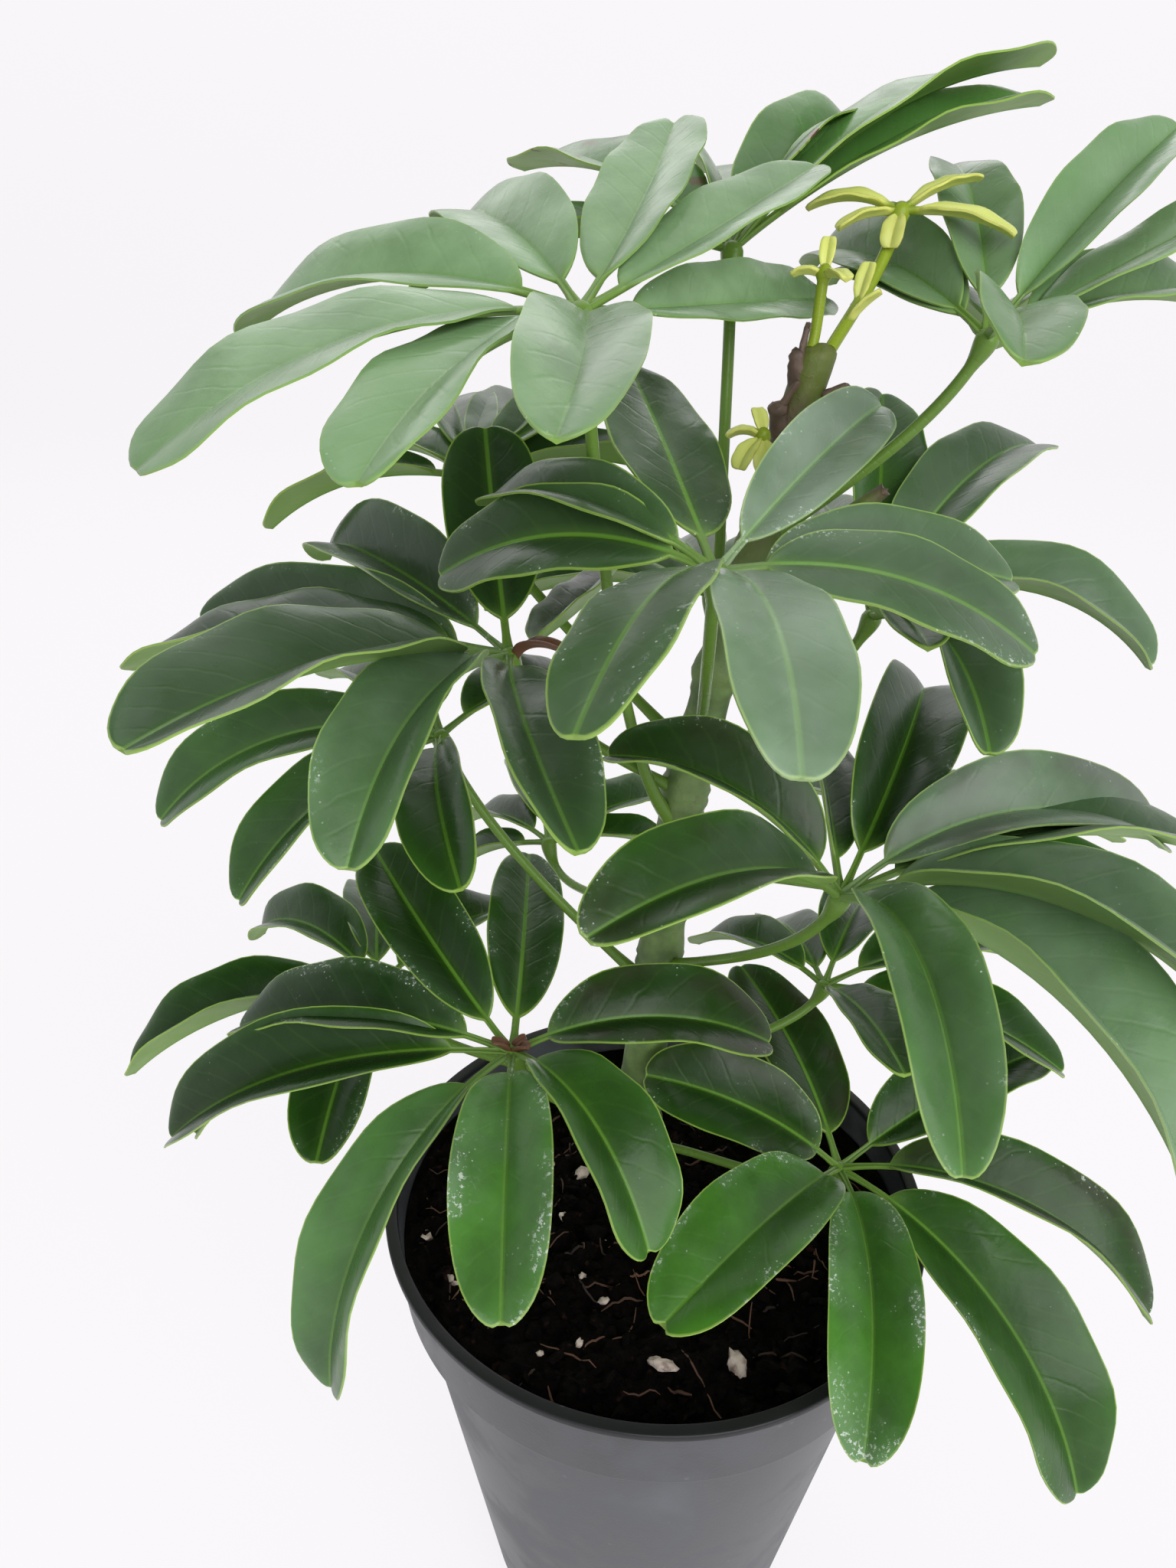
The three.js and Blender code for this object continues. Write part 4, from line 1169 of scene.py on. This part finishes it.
# Dust is a thin film, denser near the edges, with powder and specks where it is densest.
def leafDust(tree, look, upper):
    film = times(tree, pattern(tree, look, "film"), times(tree, mark(tree, "dust"), upper))
    film = times(tree, film, between(tree, mark(tree, "edge"), *look["filmEdge"]))
    powder = pattern(tree, look, "powder")
    powder = times(tree, powder, between(tree, film, *look["powderFilm"]))
    dots = specks(tree, *look["specks"])
    dots = times(tree, dots, between(tree, film, *look["speckFilm"]))
    return film, calc(tree, "MAXIMUM", dots, powder)


def dustAndSheenColour(tree, look, colour, film, dots):
    # Painted sheen: the haze and sheen mark, broken up by its cloud, blends towards the dust colour
    # as a pale highlight. The film and specks after it are real dust.
    haze = times(tree, pattern(tree, look, "haze"), mark(tree, "haze"))
    colour = blendColour(tree, haze, colour, look["dust"])
    colour = blendColour(tree, times(tree, film, look["filmStrength"]), colour, look["dust"])
    return blendColour(tree, times(tree, dots, look["speckStrength"]), colour, look["speck"])


# A leaflet that is a little brown is spotted, and one that is very brown is brown all over.
def scorchedColour(tree, look, colour):
    brown = mark(tree, "brown")
    spots = times(tree, pattern(tree, look, "scorch"), brown)
    scorched = calc(tree, "MAXIMUM", spots, between(tree, brown, *look["allBrown"]))
    return blendColour(tree, scorched, colour, look["brown"])


def leafRelief(tree, look, veins, dots):
    relief = times(tree, cloud(tree, *look["pebbles"]), look["pebbleHeight"])
    swells = times(tree, cloud(tree, *look["swells"]), look["swellHeight"])
    relief = plus(tree, relief, swells)
    relief = calc(tree, "SUBTRACT", relief, times(tree, veins, look["veinDepth"]))
    return bump(tree, plus(tree, relief, dots), *look["relief"])


def leafMaterial(name, look):
    material, tree = newMaterial(name)
    offset = calc(tree, "ABSOLUTE", mark(tree, "offset"))
    upper = between(tree, mark(tree, "upper"), 0.4, 0.6)
    beneath = calc(tree, "SUBTRACT", 1.0, upper)
    veins = leafVeins(tree, look, offset)
    film, dots = leafDust(tree, look, upper)
    colour = leafColour(tree, look, offset, beneath, veins)
    colour = dustAndSheenColour(tree, look, colour, film, dots)
    dull = times(tree, plus(tree, film, dots), look["dustDulls"])
    gloss = plus(tree, pattern(tree, look, "gloss"), dull)
    gloss = plus(tree, gloss, times(tree, beneath, look["underDulls"]))
    surface(tree, {
        "Base Color": scorchedColour(tree, look, colour),
        "Roughness": gloss,
        "Normal": leafRelief(tree, look, veins, dots),
        "Specular IOR Level": look["shine"],
    })
    return material


stemLook = dict(
    deep=(0.075, 0.13, 0.04, 1), light=(0.17, 0.26, 0.08, 1), top=(0.1, 0.13, 0.02, 1),
    cork=(0.2, 0.17, 0.1, 1), barkDark=(0.02, 0.012, 0.01, 1), barkLight=(0.2, 0.13, 0.09, 1),
    streakCloud=(160.0, 5.0), streakRange=(0.3, 0.7),
    corkCloud=(420.0, 4.0, 0.6, 3.0), corkRange=(0.58, 0.7), corkStrength=0.5,
    barkGrain=(500.0, 4.0), skin=(700.0, 5.0, 0.6), roughness=0.55, relief=(0.4, 0.0005),
)


def stemMaterial():
    material, tree = newMaterial("stem")
    look = stemLook
    colour = blendColour(tree, pattern(tree, look, "streak"), look["deep"], look["light"])
    colour = blendColour(tree, mark(tree, "tone"), colour, look["top"])
    corky = pattern(tree, look, "cork")
    colour = blendColour(tree, times(tree, corky, look["corkStrength"]), colour, look["cork"])
    grain = cloud(tree, *look["barkGrain"])
    bark = blendColour(tree, grain, look["barkDark"], look["barkLight"])
    colour = blendColour(tree, mark(tree, "brown"), colour, bark)
    relief = plus(tree, cloud(tree, *look["skin"]), corky)
    surface(tree, {
        "Base Color": colour,
        "Roughness": look["roughness"],
        "Normal": bump(tree, relief, *look["relief"]),
    })
    return material


potLook = dict(
    plain=(0.036, 0.038, 0.043, 1), hazy=(0.098, 0.103, 0.113, 1), lipShade=(0.012, 0.012, 0.014, 1),
    speck=(0.3, 0.31, 0.33, 1), hazeCloud=(28.0, 6.0, 0.6), hazeRange=(0.4, 0.66),
    specks=(420.0, 0.94, 0.24), speckStrength=0.12, lipBlend=1, smoothest=0.38, roughest=0.6,
    shine=0.3, grain=(1400.0, 3.0), relief=(0.12, 0.0003),
)


# Charcoal plastic with a cloudy pale haze. The lip is painted without haze and darker, a painted
# shade on its upward face
def potMaterial():
    material, tree = newMaterial("pot_plastic")
    look = potLook
    # On the pot the haze and sheen cloud is only a cloudy haze on the plastic, no sheen.
    haze = pattern(tree, look, "haze")
    colour = blendColour(tree, haze, look["plain"], look["hazy"])
    where = addNode(tree, "ShaderNodeTexCoord", {}).outputs["Object"]
    height = addNode(tree, "ShaderNodeSeparateXYZ", {0: where}).outputs[2]
    lipFoot = (pot["height"] - pot["lipHeight"]) * mm
    # Painted shade: the upward lip is blended to a darker colour.
    lipShade = between(tree, height, lipFoot, (pot["height"] - look["lipBlend"]) * mm)
    colour = blendColour(tree, lipShade, colour, look["lipShade"])
    marks = times(tree, specks(tree, *look["specks"]), look["speckStrength"])
    surface(tree, {
        "Base Color": blendColour(tree, marks, colour, look["speck"]),
        "Roughness": between(tree, haze, 0.0, 1.0, look["smoothest"], look["roughest"]),
        "Normal": bump(tree, cloud(tree, *look["grain"]), *look["relief"]),
        "Specular IOR Level": look["shine"],
    })
    return material


mixLook = dict(
    peat=(0.0003, 0.0002, 0.0002, 1), crumb=(0.0045, 0.0025, 0.002, 1),
    chip=(0.045, 0.02, 0.016, 1), crumbCloud=(600.0, 6.0, 0.7), crumbRange=(0.35, 0.7),
    chipCloud=(330.0, 2.0, 0.5, 5.0), chipRange=(0.62, 0.72), chipStrength=0.5,
    glossCloud=(250.0, 3.0, 0.5, 1.0), glossRange=(0.3, 0.7, 0.5, 0.95), shine=0.06,
    grain=(900.0, 8.0, 0.7), relief=(0.8, 0.001),
)


def mixMaterial():
    material, tree = newMaterial("potting_mix")
    look = mixLook
    colour = blendColour(tree, pattern(tree, look, "crumb"), look["peat"], look["crumb"])
    chips = times(tree, pattern(tree, look, "chip"), look["chipStrength"])
    surface(tree, {
        "Base Color": blendColour(tree, chips, colour, look["chip"]),
        "Roughness": pattern(tree, look, "gloss"),
        "Normal": bump(tree, cloud(tree, *look["grain"]), *look["relief"]),
        "Specular IOR Level": look["shine"],
    })
    return material


perliteLook = dict(
    plain=(0.6, 0.5, 0.44, 1), stain=(0.16, 0.1, 0.08, 1), stainCloud=(500.0, 5.0),
    stainRange=(0.4, 0.75), roughness=0.85, grain=(1500.0, 5.0), relief=(0.6, 0.0006),
)


def perliteMaterial():
    material, tree = newMaterial("perlite")
    look = perliteLook
    stains = pattern(tree, look, "stain")
    surface(tree, {
        "Base Color": blendColour(tree, stains, look["plain"], look["stain"]),
        "Roughness": look["roughness"],
        "Normal": bump(tree, cloud(tree, *look["grain"]), *look["relief"]),
    })
    return material


fibreLook = dict(
    dark=(0.01, 0.005, 0.003, 1), light=(0.13, 0.06, 0.035, 1), roughness=0.8,
    grain=(2500.0, 4.0), relief=(0.4, 0.0004),
)


def fibreMaterial():
    material, tree = newMaterial("bark_fibre")
    look = fibreLook
    surface(tree, {
        "Base Color": blendColour(tree, mark(tree, "fresh"), look["dark"], look["light"]),
        "Roughness": look["roughness"],
        "Normal": bump(tree, cloud(tree, *look["grain"]), *look["relief"]),
    })
    return material


# The photograph's view
view = dict(
    place=(0.0, -191.3, 318.6), yaw=-4.9, pitch=27.1, roll=1.0,
    focal=1500, photoHeight=2048, sensor=36,
)


def buildCamera():
    yaw, pitch, roll = (math.radians(view[turn]) for turn in ("yaw", "pitch", "roll"))
    level = math.cos(pitch)
    ahead = Vector((math.sin(yaw) * level, math.cos(yaw) * level, -math.sin(pitch)))
    aside = Vector((math.cos(yaw), -math.sin(yaw), 0))
    above = aside.cross(ahead)
    right = aside * math.cos(roll) + above * math.sin(roll)
    above = above * math.cos(roll) - aside * math.sin(roll)
    data = bpy.data.cameras.new("camera")
    data.sensor_fit = "VERTICAL"
    data.sensor_height = view["sensor"]
    data.lens = view["focal"] / view["photoHeight"] * view["sensor"]
    data.clip_start = 0.01
    camera = bpy.data.objects.new("camera", data)
    turn = Matrix((right, above, -ahead)).transposed().to_4x4()
    camera.matrix_world = Matrix.Translation(Vector(view["place"]) * mm) @ turn
    bpy.context.scene.collection.objects.link(camera)
    bpy.context.scene.camera = camera


# A pale floor that curves up behind the plant
stage = dict(
    front=-1.6, back=1.5, halfWidth=2.6, curve=0.7, height=2.2, steps=24,
    colour=(0.12, 0.12, 0.12, 1), paper=(1.0, 0.975, 1.0, 1), glow=0.84,
)


def buildStage():
    profile = [(stage["front"], 0.0)]
    for step in range(stage["steps"] + 1):
        angle = math.pi / 2 * step / stage["steps"]
        y = stage["back"] + stage["curve"] * math.sin(angle)
        profile.append((y, stage["curve"] * (1 - math.cos(angle))))
    profile.append((stage["back"] + stage["curve"], stage["height"]))
    points = []
    faces = []
    for y, z in profile:
        points += [(-stage["halfWidth"], y, z), (stage["halfWidth"], y, z)]
    for step in range(len(profile) - 1):
        faces.append((2 * step, 2 * step + 1, 2 * step + 3, 2 * step + 2))
    mesh = bpy.data.meshes.new("floor")
    mesh.from_pydata(points, [], faces)
    mesh.shade_smooth()
    material, tree = newMaterial("floor")
    surface(tree, {
        "Base Color": stage["colour"],
        "Roughness": 0.9,
        "Specular IOR Level": 0.0,
        "Emission Color": stage["paper"],
        "Emission Strength": stage["glow"],
    })
    mesh.materials.append(material)
    floor = bpy.data.objects.new("floor", mesh)
    bpy.context.scene.collection.objects.link(floor)


lights = (
    dict(name="window", place=(0.8, -1.5, 1.2), aim=(0, 0, 0.2), size=2.0, power=44),
    dict(name="back", place=(-0.2, 0.8, 1.3), aim=(0, 0, 0.2), size=1.5, power=9),
)
sky = dict(
    back=(0.95, 0.95, 1.0, 1), front=(0.72, 0.72, 0.74, 1), overhead=(0.06, 0.065, 0.07, 1),
    strength=1.0,
)


def buildLights():
    for form in lights:
        data = bpy.data.lights.new(form["name"], "AREA")
        data.size = form["size"]
        data.energy = form["power"]
        lamp = bpy.data.objects.new(form["name"], data)
        lamp.location = form["place"]
        lamp.visible_camera = False
        towards = Vector(form["aim"]) - Vector(form["place"])
        lamp.rotation_euler = towards.to_track_quat("-Z", "Y").to_euler()
        bpy.context.scene.collection.objects.link(lamp)


# The room: pale behind the plant, dim overhead and behind the camera.
def buildRoom():
    world = bpy.data.worlds.new("room")
    bpy.context.scene.world = world
    world.use_nodes = True
    tree = world.node_tree
    tree.nodes.clear()
    direction = addNode(tree, "ShaderNodeTexCoord", {}).outputs["Generated"]
    axes = addNode(tree, "ShaderNodeSeparateXYZ", {0: direction})
    colour = blendColour(tree, between(tree, axes.outputs[1], -0.5, 0.5), sky["front"], sky["back"])
    colour = blendColour(tree, between(tree, axes.outputs[2], 0.35, 0.85), colour, sky["overhead"])
    shader = addNode(tree, "ShaderNodeBackground", {"Color": colour, "Strength": sky["strength"]})
    addNode(tree, "ShaderNodeOutputWorld", {"Surface": shader.outputs[0]})
    bpy.context.scene.view_settings.view_transform = "Standard"


buildCamera()
buildStage()
buildLights()
buildRoom()
print("camera, floor and lights made")

buildPot(potMaterial())
print("pot made")
buildSoil(mixMaterial())
buildPerlite(perliteMaterial())
buildFibres(fibreMaterial())
print("potting mix made")
buildStem(stemMaterial())
print("stem made")

leafGreen = leafMaterial("leaf", leafLook)
for name, form in leaves.items():
    buildLeaf(name, form, leafGreen)
print("leaves made")
youngGreen = leafMaterial("young_leaf", youngLook)
for name, form in youngLeaves.items():
    buildLeaf(name, form, youngGreen)
print("young leaves made")
